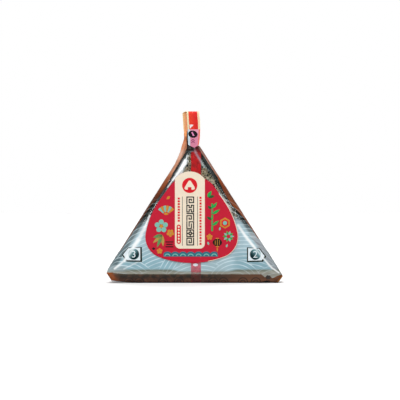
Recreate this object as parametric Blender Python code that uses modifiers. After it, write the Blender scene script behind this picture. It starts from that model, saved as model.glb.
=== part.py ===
"""A wrapped rice ball: a rounded triangular prism of film with a front sticker, a tear tape and a tab.

The pack stands on its flat base. +Z is up, -Y is the front with the sticker, +X is to the viewer's
right, and the origin is the middle of the object's box at the base. All sizes are in metres.
"""

import math

import bmesh
import bpy
from mathutils import Matrix, Vector

MM = 0.001

# The wrapped triangle: a base line and two slopes, each pair joined by an arc.
BASE_LEFT_X = -51.52 * MM
BASE_RIGHT_X = 50.17 * MM
LEFT_SLOPE_RUN = 0.6333
RIGHT_SLOPE_RUN = 0.6417
LEFT_CORNER_R = 4.8 * MM
RIGHT_CORNER_R = 3.1 * MM
APEX_R = 5.0 * MM
CORNER_STEPS = 8

# Its depth: straight rims with a rounded edge, and a slightly swollen front and back.
RIM_HALF_DEPTH = 13.75 * MM
RIM_BEVEL = 4.0 * MM
BEVEL_STEPS = 3
CROWN = 1.0 * MM
CROWN_REACH = 56.0 * MM
CROWN_X = 0.7 * MM
CROWN_Z = 26.0 * MM
GRID_STEP = 9.0 * MM
MID_Y = 0.33 * MM

# The tear tape runs once round the pack, sunk into a shallow channel.
TAPE_X = 0.7 * MM
TAPE_WIDTH = 5.4 * MM
TAPE_TOP = -0.05 * MM
TAPE_BOTTOM = -0.40 * MM
CHANNEL_FLOOR = -0.70 * MM
CHANNEL_CLEARANCE = 0.3 * MM

# The sticker: a rounded pick shape with a domed band that stands a little above it.
LABEL_GAP = 0.30 * MM
LABEL_FACE = 0.65 * MM
LABEL_X = -2.0 * MM
LABEL_BOTTOM_Z = 11.0 * MM
LABEL_BOTTOM_R = 54.8 * MM
LABEL_BOTTOM_TURN = 17.0
LABEL_CORNER_R = 11.7 * MM
LABEL_SIDE_R = 25.5 * MM
LABEL_SIDE_TURN = 35.0
LABEL_SIDE_STRAIGHT = 19.8 * MM
BAND_X = -2.6 * MM
BAND_HALF_WIDTH = 8.05 * MM
BAND_FOOT_Z = 40.0 * MM
BAND_DOME_R = 10.0 * MM
BAND_TOP_Z = 60.2 * MM

# The gathered film at the apex, on the left of the tab.
FLAP_OUTLINE = (
    (-11.6, 62.9), (-7.4, 71.0), (-6.4, 74.5), (-5.8, 77.6), (-5.6, 80.4),
    (-2.9, 80.4), (-0.9, 73.0), (-3.0, 62.0),
)
FLAP_FRONT_Y = -13.1 * MM
FLAP_BACK_Y = 9.0 * MM
FLAP_SHOULDER_Z = 66.0 * MM
FLAP_TOP_BACK_Y = -9.0 * MM
FLAP_TOP_Z = 80.4 * MM

# The pull tab: a ribbon that rises in front, folds over and comes down behind, a little to the left.
TAB_THICKNESS = 0.4 * MM
TAB_FRONT_Y = -14.6 * MM
TAB_FOLD_R = 1.3 * MM
TAB_FOLD_Z = 91.35 * MM
TAB_FOLD_STEPS = 6
TAB_POINT = (-0.45, 72.95)
TAB_FRONT_ROWS = (
    (-3.5, 2.3, 74.5), (-3.7, 2.8, 78.8), (-3.8, 2.95, 83.0), (-4.1, 2.9, 87.2), (-4.4, 2.5, 91.35),
)
TAB_BACK_ROWS = (
    (-6.6, 0.6, 91.35), (-6.3, 0.2, 87.2), (-6.1, -0.8, 83.5), (-5.7, -2.4, 80.9),
)


def clear_scene():
    for item in list(bpy.data.objects):
        bpy.data.objects.remove(item, do_unlink=True)


def new_collection(name):
    collection = bpy.data.collections.new(name)
    bpy.context.scene.collection.children.link(collection)
    return collection


def new_material(name, colour, roughness, metallic=0.0):
    material = bpy.data.materials.new(name)
    material.use_nodes = True
    shader = material.node_tree.nodes["Principled BSDF"]
    shader.inputs["Base Color"].default_value = (*colour, 1.0)
    shader.inputs["Roughness"].default_value = roughness
    shader.inputs["Metallic"].default_value = metallic
    return material


def arc(centre, radius, start, end, steps):
    """Points on a circle from the start angle to the end angle, both included."""
    points = []
    for i in range(steps + 1):
        angle = start + (end - start) * i / steps
        points.append((centre[0] + radius * math.cos(angle), centre[1] + radius * math.sin(angle)))
    return points


def pack_outline(offset):
    """The rounded triangle in X and Z, moved out by the offset, anticlockwise from the left corner."""
    left_angle = math.atan2(1.0, LEFT_SLOPE_RUN)
    right_angle = math.atan2(1.0, RIGHT_SLOPE_RUN)
    apex_z = (BASE_RIGHT_X - BASE_LEFT_X) / (LEFT_SLOPE_RUN + RIGHT_SLOPE_RUN)
    apex_x = BASE_LEFT_X + LEFT_SLOPE_RUN * apex_z
    half_apex = 0.5 * (math.pi - left_angle - right_angle)
    lean = 0.5 * (left_angle - right_angle)
    left = (BASE_LEFT_X + LEFT_CORNER_R / math.tan(0.5 * left_angle), LEFT_CORNER_R)
    right = (BASE_RIGHT_X - RIGHT_CORNER_R / math.tan(0.5 * right_angle), RIGHT_CORNER_R)
    drop = APEX_R / math.sin(half_apex)
    apex = (apex_x + drop * math.sin(lean), apex_z - drop * math.cos(lean))
    down = -0.5 * math.pi
    right_out = 0.5 * math.pi - right_angle
    left_out = 0.5 * math.pi + left_angle
    points = arc(left, LEFT_CORNER_R + offset, left_out, math.pi * 1.5, CORNER_STEPS)
    points += arc(right, RIGHT_CORNER_R + offset, down, right_out, CORNER_STEPS)
    points += arc(apex, APEX_R + offset, right_out, left_out, CORNER_STEPS)
    return points


def plate(name, outline, front_y, back_y):
    """A flat outline in X and Z, filled and given its depth along Y, as a closed mesh."""
    curve = bpy.data.curves.new(name, "CURVE")
    curve.dimensions = "2D"
    curve.fill_mode = "BOTH"
    curve.extrude = 0.5 * (back_y - front_y)
    spline = curve.splines.new("POLY")
    spline.points.add(len(outline) - 1)
    for point, (x, z) in zip(spline.points, outline):
        point.co = (x, z, 0.0, 1.0)
    spline.use_cyclic_u = True
    guide = bpy.data.objects.new(name, curve)
    bpy.context.scene.collection.objects.link(guide)
    bpy.context.view_layer.update()
    evaluated = guide.evaluated_get(bpy.context.evaluated_depsgraph_get())
    mesh = bpy.data.meshes.new_from_object(evaluated)
    bpy.data.objects.remove(guide, do_unlink=True)

    bm = bmesh.new()
    bm.from_mesh(mesh)
    bpy.data.meshes.remove(mesh)
    upright = Matrix.Rotation(0.5 * math.pi, 4, "X")
    bmesh.ops.transform(bm, matrix=upright, verts=bm.verts)
    bmesh.ops.translate(bm, vec=(0.0, 0.5 * (front_y + back_y), 0.0), verts=bm.verts)
    bmesh.ops.remove_doubles(bm, verts=bm.verts, dist=0.00001)
    caps = [edge for edge in bm.edges if edge.calc_face_angle(1.0) < 0.001]
    bmesh.ops.dissolve_edges(bm, edges=caps, use_verts=False)
    bmesh.ops.recalc_face_normals(bm, faces=bm.faces)
    return bm


def crown(x, z):
    """How far the front and the back swell out at a place."""
    distance = math.hypot(x - CROWN_X, z - CROWN_Z)
    return CROWN * (1.0 - (distance / CROWN_REACH) ** 2)


def pack_mesh(name, offset):
    """The wrapped triangle with rounded rims and swollen faces, grown by the offset all round."""
    half = RIM_HALF_DEPTH + offset
    bm = plate(name, pack_outline(offset), -half, half)
    rims = []
    for edge in bm.edges:
        if abs(edge.verts[0].co.y - edge.verts[1].co.y) < 0.1 * MM:
            rims.append(edge)
    bmesh.ops.bevel(
        bm, geom=rims, offset=RIM_BEVEL + offset, offset_type="OFFSET", segments=BEVEL_STEPS,
        profile=0.5, affect="EDGES", clamp_overlap=True, material=-1,
    )
    for i in range(-5, 6):
        cut_across(bm, (i * GRID_STEP + CROWN_X, 0.0, 0.0), (1.0, 0.0, 0.0))
    for i in range(1, 9):
        cut_across(bm, (0.0, 0.0, i * GRID_STEP), (0.0, 0.0, 1.0))
    for vert in bm.verts:
        vert.co.y *= 1.0 + crown(vert.co.x, vert.co.z) / half
        vert.co.y += MID_Y
    mesh = bpy.data.meshes.new(name)
    bm.to_mesh(mesh)
    bm.free()
    return mesh


def cut_across(bm, point, normal):
    """A plane that divides the faces and takes nothing away."""
    everything = list(bm.verts) + list(bm.edges) + list(bm.faces)
    bmesh.ops.bisect_plane(bm, geom=everything, dist=0.000001, plane_co=point, plane_no=normal)


def place(name, mesh, collection):
    item = bpy.data.objects.new(name, mesh)
    collection.objects.link(item)
    return item


def place_cutter(name, mesh, collection):
    item = place(name, mesh, collection)
    item.hide_render = True
    item.display_type = "WIRE"
    return item


def add_boolean(item, other, operation):
    modifier = item.modifiers.new(operation.title(), "BOOLEAN")
    modifier.operation = operation
    modifier.solver = "EXACT"
    modifier.object = other
    return modifier


def finish(item, material, smooth_angle):
    item.data.materials.clear()
    item.data.materials.append(material)
    item.data.shade_smooth()
    item.data.set_sharp_from_angle(angle=math.radians(smooth_angle))


def slab_mesh(name, centre_x, width, front_y, back_y, low_z, high_z):
    """A box between six planes."""
    bm = bmesh.new()
    bmesh.ops.create_cube(bm, size=1.0)
    size = (width, back_y - front_y, high_z - low_z)
    bmesh.ops.scale(bm, vec=size, verts=bm.verts)
    middle = (centre_x, 0.5 * (front_y + back_y), 0.5 * (low_z + high_z))
    bmesh.ops.translate(bm, vec=middle, verts=bm.verts)
    mesh = bpy.data.meshes.new(name)
    bm.to_mesh(mesh)
    bm.free()
    return mesh


def pick_outline():
    """The sticker's side from the bottom middle up to its shoulder, then the same side mirrored."""
    x, z, heading = 0.0, LABEL_BOTTOM_Z, 0.0
    points = []
    bends = (
        (LABEL_BOTTOM_R, LABEL_BOTTOM_TURN, 4),
        (LABEL_CORNER_R, 90.0 - LABEL_BOTTOM_TURN, 10),
        (LABEL_SIDE_R, LABEL_SIDE_TURN, 5),
    )
    for radius, turn, steps in bends:
        for _ in range(steps):
            step = math.radians(turn) / steps
            chord = 2.0 * radius * math.sin(0.5 * step)
            x += chord * math.cos(heading + 0.5 * step)
            z += chord * math.sin(heading + 0.5 * step)
            heading += step
            points.append((x, z))
    x += LABEL_SIDE_STRAIGHT * math.cos(heading)
    z += LABEL_SIDE_STRAIGHT * math.sin(heading)
    points.append((x, z))
    right = [(LABEL_X + x, z) for x, z in points]
    left = [(LABEL_X - x, z) for x, z in reversed(points)]
    return right + left + [(LABEL_X, LABEL_BOTTOM_Z)]


def band_outline():
    """The upright band with its domed head."""
    centre = (BAND_X, BAND_TOP_Z - BAND_DOME_R)
    swing = math.asin(BAND_HALF_WIDTH / BAND_DOME_R)
    up = 0.5 * math.pi
    dome = arc(centre, BAND_DOME_R, up - swing, up + swing, 10)
    left_foot = (BAND_X - BAND_HALF_WIDTH, BAND_FOOT_Z)
    right_foot = (BAND_X + BAND_HALF_WIDTH, BAND_FOOT_Z)
    return dome + [left_foot, right_foot]


def to_mesh(bm, name):
    mesh = bpy.data.meshes.new(name)
    bm.to_mesh(mesh)
    bm.free()
    return mesh


def make_apex_flap(cutters):
    """The gathered film at the apex: an upright wedge that narrows to the back of the tab."""
    outline = [(x * MM, z * MM) for x, z in FLAP_OUTLINE]
    bm = plate("apex_flap", outline, FLAP_FRONT_Y, FLAP_BACK_Y)
    slant = Vector((0.0, FLAP_BACK_Y - FLAP_TOP_BACK_Y, FLAP_SHOULDER_Z - FLAP_TOP_Z))
    outward = Vector((0.0, -slant.z, slant.y)).normalized()
    everything = list(bm.verts) + list(bm.edges) + list(bm.faces)
    cut = bmesh.ops.bisect_plane(
        bm, geom=everything, dist=0.000001, plane_co=(0.0, FLAP_TOP_BACK_Y, FLAP_TOP_Z),
        plane_no=outward, clear_outer=True,
    )
    rim = [item for item in cut["geom_cut"] if isinstance(item, bmesh.types.BMEdge)]
    bmesh.ops.contextual_create(bm, geom=rim)
    bmesh.ops.translate(bm, vec=(0.0, MID_Y, 0.0), verts=bm.verts)
    bmesh.ops.recalc_face_normals(bm, faces=bm.faces)
    return place_cutter("apex_flap", to_mesh(bm, "apex_flap"), cutters)


def make_film_pack(parts, cutters):
    """The wrapped triangle with the gathered film joined on and the tape's channel cut into it."""
    pack = place("film_pack", pack_mesh("film_pack", 0.0), parts)
    channel_width = TAPE_WIDTH + 2.0 * CHANNEL_CLEARANCE
    channel_mesh = slab_mesh("tape_channel", TAPE_X, channel_width, -0.03, 0.03, -0.01, 0.1)
    channel = place_cutter("tape_channel", channel_mesh, cutters)
    floor = place_cutter("channel_floor", pack_mesh("channel_floor", CHANNEL_FLOOR), cutters)
    add_boolean(channel, floor, "DIFFERENCE")
    add_boolean(pack, make_apex_flap(cutters), "UNION")
    add_boolean(pack, channel, "DIFFERENCE")
    return pack


def make_tear_tape(parts, cutters):
    """A thin band round the middle of the pack, between two offsets of the pack's own surface."""
    tape = place("tear_tape", pack_mesh("tear_tape", TAPE_TOP), parts)
    inner = place_cutter("tape_inner", pack_mesh("tape_inner", TAPE_BOTTOM), cutters)
    width_mesh = slab_mesh("tape_width", TAPE_X, TAPE_WIDTH, -0.03, 0.03, -0.01, 0.1)
    width = place_cutter("tape_width", width_mesh, cutters)
    add_boolean(tape, width, "INTERSECT")
    add_boolean(tape, inner, "DIFFERENCE")
    return tape


def make_front_label(parts, cutters):
    """A thin sheet that follows the swollen front, cut to the sticker's outline."""
    label = place("front_label", pack_mesh("front_label", LABEL_FACE), parts)
    inner = place_cutter("label_inner", pack_mesh("label_inner", LABEL_GAP), cutters)
    pick_bm = plate("label_pick", pick_outline(), -30.0 * MM, -5.0 * MM)
    pick = place_cutter("label_pick", to_mesh(pick_bm, "label_pick"), cutters)
    band_bm = plate("label_band", band_outline(), -30.0 * MM, -5.0 * MM)
    band = place_cutter("label_band", to_mesh(band_bm, "label_band"), cutters)
    add_boolean(pick, band, "UNION")
    add_boolean(label, pick, "INTERSECT")
    add_boolean(label, inner, "DIFFERENCE")
    return label


def make_pull_tab(parts):
    """A folded ribbon: rows of three points from the pointed front end over the fold to the back."""
    rows = []
    front_y = TAB_FRONT_Y + MID_Y
    for left, right, z in TAB_FRONT_ROWS:
        rows.append((left * MM, right * MM, front_y, z * MM))
    front_left, front_right = TAB_FRONT_ROWS[-1][0] * MM, TAB_FRONT_ROWS[-1][1] * MM
    back_left, back_right = TAB_BACK_ROWS[0][0] * MM, TAB_BACK_ROWS[0][1] * MM
    for i in range(1, TAB_FOLD_STEPS):
        share = i / TAB_FOLD_STEPS
        angle = math.pi * share
        y = front_y + TAB_FOLD_R * (1.0 - math.cos(angle))
        z = TAB_FOLD_Z + TAB_FOLD_R * math.sin(angle)
        left = front_left + (back_left - front_left) * share
        right = front_right + (back_right - front_right) * share
        rows.append((left, right, y, z))
    back_y = front_y + 2.0 * TAB_FOLD_R
    for left, right, z in TAB_BACK_ROWS:
        rows.append((left * MM, right * MM, back_y, z * MM))

    bm = bmesh.new()
    grid = []
    for left, right, y, z in rows:
        middle = 0.5 * (left + right)
        grid.append([bm.verts.new((x, y, z)) for x in (left, middle, right)])
    for lower, upper in zip(grid, grid[1:]):
        for i in range(2):
            bm.faces.new((lower[i], lower[i + 1], upper[i + 1], upper[i]))
    point_x, point_z = TAB_POINT
    grid[0][1].co = (point_x * MM, front_y, point_z * MM)
    tab = place("pull_tab", to_mesh(bm, "pull_tab"), parts)
    solid = tab.modifiers.new("Thickness", "SOLIDIFY")
    solid.thickness = TAB_THICKNESS
    solid.offset = 0.0
    solid.use_even_offset = True
    return tab


def build():
    clear_scene()
    parts = new_collection("wrapped_rice_ball")
    cutters = new_collection("cutters")
    pack = make_film_pack(parts, cutters)
    tape = make_tear_tape(parts, cutters)
    label = make_front_label(parts, cutters)
    tab = make_pull_tab(parts)
    finish(pack, new_material("film", (0.38, 0.50, 0.54), 0.25), 25.0)
    finish(tape, new_material("tear_tape", (0.35, 0.03, 0.04), 0.3), 25.0)
    finish(label, new_material("label", (0.53, 0.02, 0.04), 0.4), 25.0)
    finish(tab, new_material("tab", (0.78, 0.06, 0.04), 0.4), 40.0)


build()
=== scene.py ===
"""A wrapped rice ball in printed film, with its sticker, tear tape and pull tab.

Shapes are worked out in millimetres from the pack's middle plane and put into metres when a piece is
finished. +Z is up, -Y is the front with the sticker and +X is to the viewer's right.
"""

import math
import random

import bmesh
import bpy
from mathutils import Matrix, Vector, noise
from mathutils.bvhtree import BVHTree


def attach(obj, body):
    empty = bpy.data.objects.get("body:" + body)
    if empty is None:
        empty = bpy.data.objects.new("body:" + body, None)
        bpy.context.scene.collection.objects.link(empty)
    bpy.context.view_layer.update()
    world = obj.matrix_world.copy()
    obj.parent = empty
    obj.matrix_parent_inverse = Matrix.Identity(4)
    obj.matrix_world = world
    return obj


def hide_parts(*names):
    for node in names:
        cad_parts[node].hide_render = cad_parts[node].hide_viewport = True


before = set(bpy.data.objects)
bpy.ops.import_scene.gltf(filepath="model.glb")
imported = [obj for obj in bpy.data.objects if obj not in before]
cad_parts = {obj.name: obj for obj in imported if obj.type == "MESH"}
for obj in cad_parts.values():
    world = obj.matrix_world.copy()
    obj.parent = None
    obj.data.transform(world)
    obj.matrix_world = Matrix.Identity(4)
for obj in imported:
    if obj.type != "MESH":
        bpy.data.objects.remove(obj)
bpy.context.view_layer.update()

MM = 0.001
MM_PER_METRE = 1000.0

# The pack's own sizes, the same as the solid's, in millimetres.
BASE_LEFT_X, BASE_RIGHT_X = -51.52, 50.17
LEFT_RUN, RIGHT_RUN = 0.6333, 0.6417
PACK_CORNERS = (4.8, 3.1, 5.0)
RICE_CORNERS = (11.0, 10.0, 9.0)
RIM_HALF_DEPTH = 13.75
RIM_BEVEL, RICE_BEVEL, NORI_BEVEL = 3.2, 6.0, 2.6
CROWN, CROWN_REACH, CROWN_X, CROWN_Z = 1.0, 56.0, 0.7, 26.0
MID_Y = 0.33
TAPE_X, TAPE_WIDTH = 0.7, 5.4
LEFT_TIP, LEFT_TIP_FOOT = (-47.7, 5.4), (-44.9, 1.3)
RIGHT_TIP, RIGHT_TIP_FOOT = (47.6, 3.5), (44.9, 0.05)

LEFT_SCALE = math.hypot(1.0, LEFT_RUN)
RIGHT_SCALE = math.hypot(1.0, RIGHT_RUN)
# Straight out of each slope, in X and Z, and how fast both rise outwards.
LEFT_OUT, RIGHT_OUT = (-0.845, 0.535), (0.842, 0.540)
FOLD_OUT_Z = 0.538


# ---------------------------------------------------------------- helpers


def left_reach(x, z):
    """Distance in from the left slope."""
    return (x - BASE_LEFT_X - LEFT_RUN * z) / LEFT_SCALE


def right_reach(x, z):
    """Distance in from the right slope."""
    return (BASE_RIGHT_X - x - RIGHT_RUN * z) / RIGHT_SCALE


def along_left(z, inset):
    """X of the line that runs beside the left slope at an inset."""
    return BASE_LEFT_X + LEFT_RUN * z + inset * LEFT_SCALE


def along_right(z, inset):
    """The same beside the right slope."""
    return BASE_RIGHT_X - RIGHT_RUN * z - inset * RIGHT_SCALE


def smooth(value, low, high):
    """From 0 at the low end to 1 at the high end, easing in and out."""
    share = min(1.0, max(0.0, (value - low) / (high - low)))
    return share * share * (3.0 - 2.0 * share)


def finish_piece(name, bm, materials, smooth_angle=40.0):
    """Put a mesh worked out in millimetres into metres, in its place, as one named object."""
    bmesh.ops.translate(bm, vec=(0.0, MID_Y, 0.0), verts=bm.verts)
    bmesh.ops.scale(bm, vec=(MM, MM, MM), verts=bm.verts)
    bm.normal_update()
    mesh = bpy.data.meshes.new(name)
    bm.to_mesh(mesh)
    bm.free()
    for material in materials:
        mesh.materials.append(material)
    mesh.shade_smooth()
    mesh.set_sharp_from_angle(angle=math.radians(smooth_angle))
    item = bpy.data.objects.new(name, mesh)
    bpy.context.scene.collection.objects.link(item)
    return item


def whole(bm):
    """All of a mesh, as bisect_plane takes it."""
    return list(bm.verts) + list(bm.edges) + list(bm.faces)


def slice_by(bm, step, low, high, axis):
    """Divide the faces by evenly spaced planes square to an axis."""
    count = int((high - low) / step)
    for i in range(count + 1):
        point = Vector((0.0, 0.0, 0.0))
        normal = Vector((0.0, 0.0, 0.0))
        point[axis] = low + i * step
        normal[axis] = 1.0
        bmesh.ops.bisect_plane(bm, geom=whole(bm), dist=0.0001, plane_co=point, plane_no=normal)


def sheet_from_rows(rows, closed=False):
    """A grid moved onto rows of places; a closed one is joined along its sides into a tube."""
    bm = bmesh.new()
    across, along = len(rows[0]) - (0 if closed else 1), len(rows) - 1
    bmesh.ops.create_grid(bm, x_segments=across, y_segments=along, size=1.0)
    for vert in bm.verts:
        i = round(0.5 * (vert.co.x + 1.0) * across)
        j = round(0.5 * (vert.co.y + 1.0) * along)
        vert.co = rows[j][i % len(rows[0])]
    if closed:
        bmesh.ops.remove_doubles(bm, verts=bm.verts, dist=0.0005)
        open_edges = [edge for edge in bm.edges if edge.is_boundary]
        bmesh.ops.holes_fill(bm, edges=open_edges, sides=0)
        bmesh.ops.recalc_face_normals(bm, faces=bm.faces)
    return bm


# ---------------------------------------------------------------- shader helpers


def feed(tree, item, inputs):
    """Give a node its inputs, which are values or other nodes' outputs."""
    for key, value in inputs.items():
        if isinstance(value, bpy.types.NodeSocket):
            tree.links.new(value, item.inputs[key])
        else:
            item.inputs[key].default_value = value


def add(tree, kind, inputs=None, **settings):
    """A new node with its settings and its inputs."""
    item = tree.nodes.new(kind)
    for key, value in settings.items():
        setattr(item, key, value)
    feed(tree, item, inputs or {})
    return item


def calc(tree, operation, a, b=0.0, c=0.0):
    return add(tree, "ShaderNodeMath", {0: a, 1: b, 2: c}, operation=operation).outputs[0]


def plus(tree, a, b):
    return calc(tree, "ADD", a, b)


def minus(tree, a, b):
    return calc(tree, "SUBTRACT", a, b)


def less(tree, a, b):
    return calc(tree, "LESS_THAN", a, b)


def more(tree, a, b):
    return calc(tree, "GREATER_THAN", a, b)


def unsigned(tree, value):
    return calc(tree, "ABSOLUTE", value)


def times(tree, product, *factors):
    """Two or more values multiplied together."""
    for factor in factors:
        product = calc(tree, "MULTIPLY", product, factor)
    return product


def most(tree, highest, *others):
    """The highest of two or more values."""
    for other in others:
        highest = calc(tree, "MAXIMUM", highest, other)
    return highest


def scaled(tree, value, factor, offset):
    """A value times a factor, and an offset added."""
    return calc(tree, "MULTIPLY_ADD", value, factor, offset)


def dot(tree, first_x, first_z, second_x, second_z):
    """The dot product of two flat runs."""
    return scaled(tree, first_x, second_x, times(tree, first_z, second_z))


def between(tree, value, low, high, start=0.0, end=1.0, soft=True):
    """A value carried from one range to another, held at the ends."""
    kind = "SMOOTHSTEP" if soft else "LINEAR"
    inputs = {"Value": value, "From Min": low, "From Max": high, "To Min": start, "To Max": end}
    return add(tree, "ShaderNodeMapRange", inputs, interpolation_type=kind, clamp=True).outputs[0]


def mix_colour(tree, share, first, second, kind="MIX"):
    inputs = {0: share, 6: first, 7: second}
    return add(tree, "ShaderNodeMix", inputs, data_type="RGBA", blend_type=kind).outputs[2]


def shade(tree, colour, level):
    """A colour made darker or lighter by a level."""
    grey = add(tree, "ShaderNodeCombineColor", {0: level, 1: level, 2: level}).outputs[0]
    return mix_colour(tree, 1.0, colour, grey, "MULTIPLY")


def clouds(tree, place, scale, detail=3.0):
    return add(tree, "ShaderNodeTexNoise", {"Vector": place, "Scale": scale, "Detail": detail}).outputs[0]


def bump(tree, height, distance, strength=1.0):
    inputs = {"Height": height, "Distance": distance, "Strength": strength}
    return add(tree, "ShaderNodeBump", inputs).outputs[0]


def ramp(tree, value, reach, stops):
    """What a value picks from stops, each a place from 0 to the reach and a colour."""
    item = add(tree, "ShaderNodeValToRGB", {0: calc(tree, "DIVIDE", value, reach)})
    elements = item.color_ramp.elements
    for i, (place, colour) in enumerate(stops):
        element = elements[i] if i < 2 else elements.new(place / reach)
        element.position = place / reach
        element.color = colour
    return item.outputs[0]


def levels(tree, value, reach, stops, top=4.0):
    """The same for a plain number from 0 to the top."""
    greys = [(place, (level / top, level / top, level / top, 1.0)) for place, level in stops]
    return times(tree, ramp(tree, value, reach, greys), top)


def tones(tree, value, reach, stops):
    """The same for colours as they look on a screen."""
    return ramp(tree, value, reach, [(place, paint(*tone)) for place, tone in stops])


def paint(red, green, blue):
    """A colour given as it looks on a screen, from 0 to 255."""
    parts = []
    for part in (red, green, blue):
        part /= 255.0
        parts.append(part / 12.92 if part <= 0.04045 else ((part + 0.055) / 1.055) ** 2.4)
    return (*parts, 1.0)


WHITE = (1.0, 1.0, 1.0, 1.0)
COAT_ROUGHNESS = 0.12


def new_material(name, roughness=0.4, coat=0.0, specular=0.5):
    """A material with its tree, its Principled shader and the object's own coordinates."""
    material = bpy.data.materials.new(name)
    material.use_nodes = True
    tree = material.node_tree
    shader = tree.nodes["Principled BSDF"]
    feed(tree, shader, {"Roughness": roughness, "Specular IOR Level": specular})
    feed(tree, shader, {"Coat Weight": coat, "Coat Roughness": COAT_ROUGHNESS})
    place = tree.nodes.new("ShaderNodeTexCoord").outputs["Object"]
    return material, tree, shader, place


# ---------------------------------------------------------------- shader groups


def new_group(name, inputs, outputs):
    """An empty shader group with named sockets, its input node and its output node."""
    group = bpy.data.node_groups.new(name, "ShaderNodeTree")
    for title, kind, value in inputs:
        socket = group.interface.new_socket(title, in_out="INPUT", socket_type=kind)
        if value is not None:
            socket.default_value = value
    for title, kind in outputs:
        group.interface.new_socket(title, in_out="OUTPUT", socket_type=kind)
    return group, group.nodes.new("NodeGroupInput"), group.nodes.new("NodeGroupOutput")


def use_group(tree, group, inputs):
    return add(tree, "ShaderNodeGroup", inputs, node_tree=group).outputs


def build_pack_place():
    """Where a point lies on the pack, in millimetres, also with its sides folded out flat."""
    titles = ("Across", "Depth", "Height", "Left", "Right", "Near", "Flat X", "Flat Z", "Out")
    outputs = [(title, "NodeSocketFloat") for title in titles]
    group, entry, leave = new_group("pack_place", [("Vector", "NodeSocketVector", None)], outputs)
    parts = add(group, "ShaderNodeSeparateXYZ", {0: entry.outputs[0]}).outputs
    across = times(group, parts[0], MM_PER_METRE)
    depth = scaled(group, parts[1], MM_PER_METRE, -MID_Y)
    height = times(group, parts[2], MM_PER_METRE)
    left = minus(group, scaled(group, height, -LEFT_RUN, across), BASE_LEFT_X)
    left = calc(group, "DIVIDE", left, LEFT_SCALE)
    right = minus(group, BASE_RIGHT_X, scaled(group, height, RIGHT_RUN, across))
    right = calc(group, "DIVIDE", right, RIGHT_SCALE)
    near = calc(group, "MINIMUM", left, right)
    # How far a point is round onto a side face, which folds out along its own slope's direction.
    inward = most(group, minus(group, RIM_HALF_DEPTH, unsigned(group, depth)), 0.0)
    side = scaled(group, less(group, left, right), LEFT_OUT[0] - RIGHT_OUT[0], RIGHT_OUT[0])
    flat_x = scaled(group, inward, side, across)
    flat_z = scaled(group, inward, FOLD_OUT_Z, height)
    out = minus(group, near, inward)
    places = (across, depth, height, left, right, near, flat_x, flat_z, out)
    feed(group, leave, dict(zip(titles, places)))
    return group


WAVE_PITCH, WAVE_WIDTH, WAVE_CORE = 2.1, 0.34, 0.35


def build_wave_fan():
    """Soft rings round a centre, drawn over the lines that come in."""
    titles = ("Across", "Height", "Lines", "Centre X", "Centre Z", "Radius")
    inputs = [(title, "NodeSocketFloat", 0.0) for title in titles]
    inputs += [("Pitch", "NodeSocketFloat", WAVE_PITCH), ("Width", "NodeSocketFloat", WAVE_WIDTH)]
    group, entry, leave = new_group("wave_fan", inputs, [("Lines", "NodeSocketFloat")])
    get = entry.outputs
    dx = minus(group, get["Across"], get["Centre X"])
    dz = minus(group, get["Height"], get["Centre Z"])
    reach = calc(group, "SQRT", dot(group, dx, dz, dx, dz))
    inward = minus(group, get["Radius"], reach)
    inside = more(group, inward, 0.0)
    ring = calc(group, "FLOORED_MODULO", inward, get["Pitch"])
    off_line = unsigned(group, minus(group, ring, get["Width"]))
    line = between(group, off_line, get["Width"], times(group, get["Width"], WAVE_CORE))
    kept = times(group, get["Lines"], minus(group, 1.0, inside))
    feed(group, leave, {0: scaled(group, line, inside, kept)})
    return group


CRINKLE_LEAN, CRINKLE_STRETCH = (0.0, 0.5, 0.0), (1.0, 1.0, 0.35)
FINE_CRINKLE, FINE_CRINKLE_HEIGHT = 3.1, 0.15


def build_crinkle():
    """The small unevenness of stretched film, as a height."""
    inputs = [("Vector", "NodeSocketVector", None), ("Scale", "NodeSocketFloat", 120.0)]
    group, entry, leave = new_group("film_crinkle", inputs, [("Height", "NodeSocketFloat")])
    get = entry.outputs
    stretch = {"Vector": get["Vector"], "Rotation": CRINKLE_LEAN, "Scale": CRINKLE_STRETCH}
    stretched = add(group, "ShaderNodeMapping", stretch).outputs[0]
    broad = clouds(group, stretched, get["Scale"], 2.0)
    fine = clouds(group, get["Vector"], times(group, get["Scale"], FINE_CRINKLE), 2.0)
    feed(group, leave, {0: scaled(group, fine, FINE_CRINKLE_HEIGHT, broad)})
    return group


def build_mottle():
    """A colour made a little lighter and darker from place to place."""
    inputs = [
        ("Vector", "NodeSocketVector", None), ("Colour", "NodeSocketColor", (0.5, 0.5, 0.5, 1.0)),
        ("Scale", "NodeSocketFloat", 200.0), ("Amount", "NodeSocketFloat", 0.2),
    ]
    group, entry, leave = new_group("fine_mottle", inputs, [("Colour", "NodeSocketColor")])
    get = entry.outputs
    patches = minus(group, clouds(group, get["Vector"], get["Scale"], 4.0), 0.5)
    level = scaled(group, times(group, patches, get["Amount"]), 2.0, 1.0)
    feed(group, leave, {0: shade(group, get["Colour"], level)})
    return group


STREAK_CORE = 0.1


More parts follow.
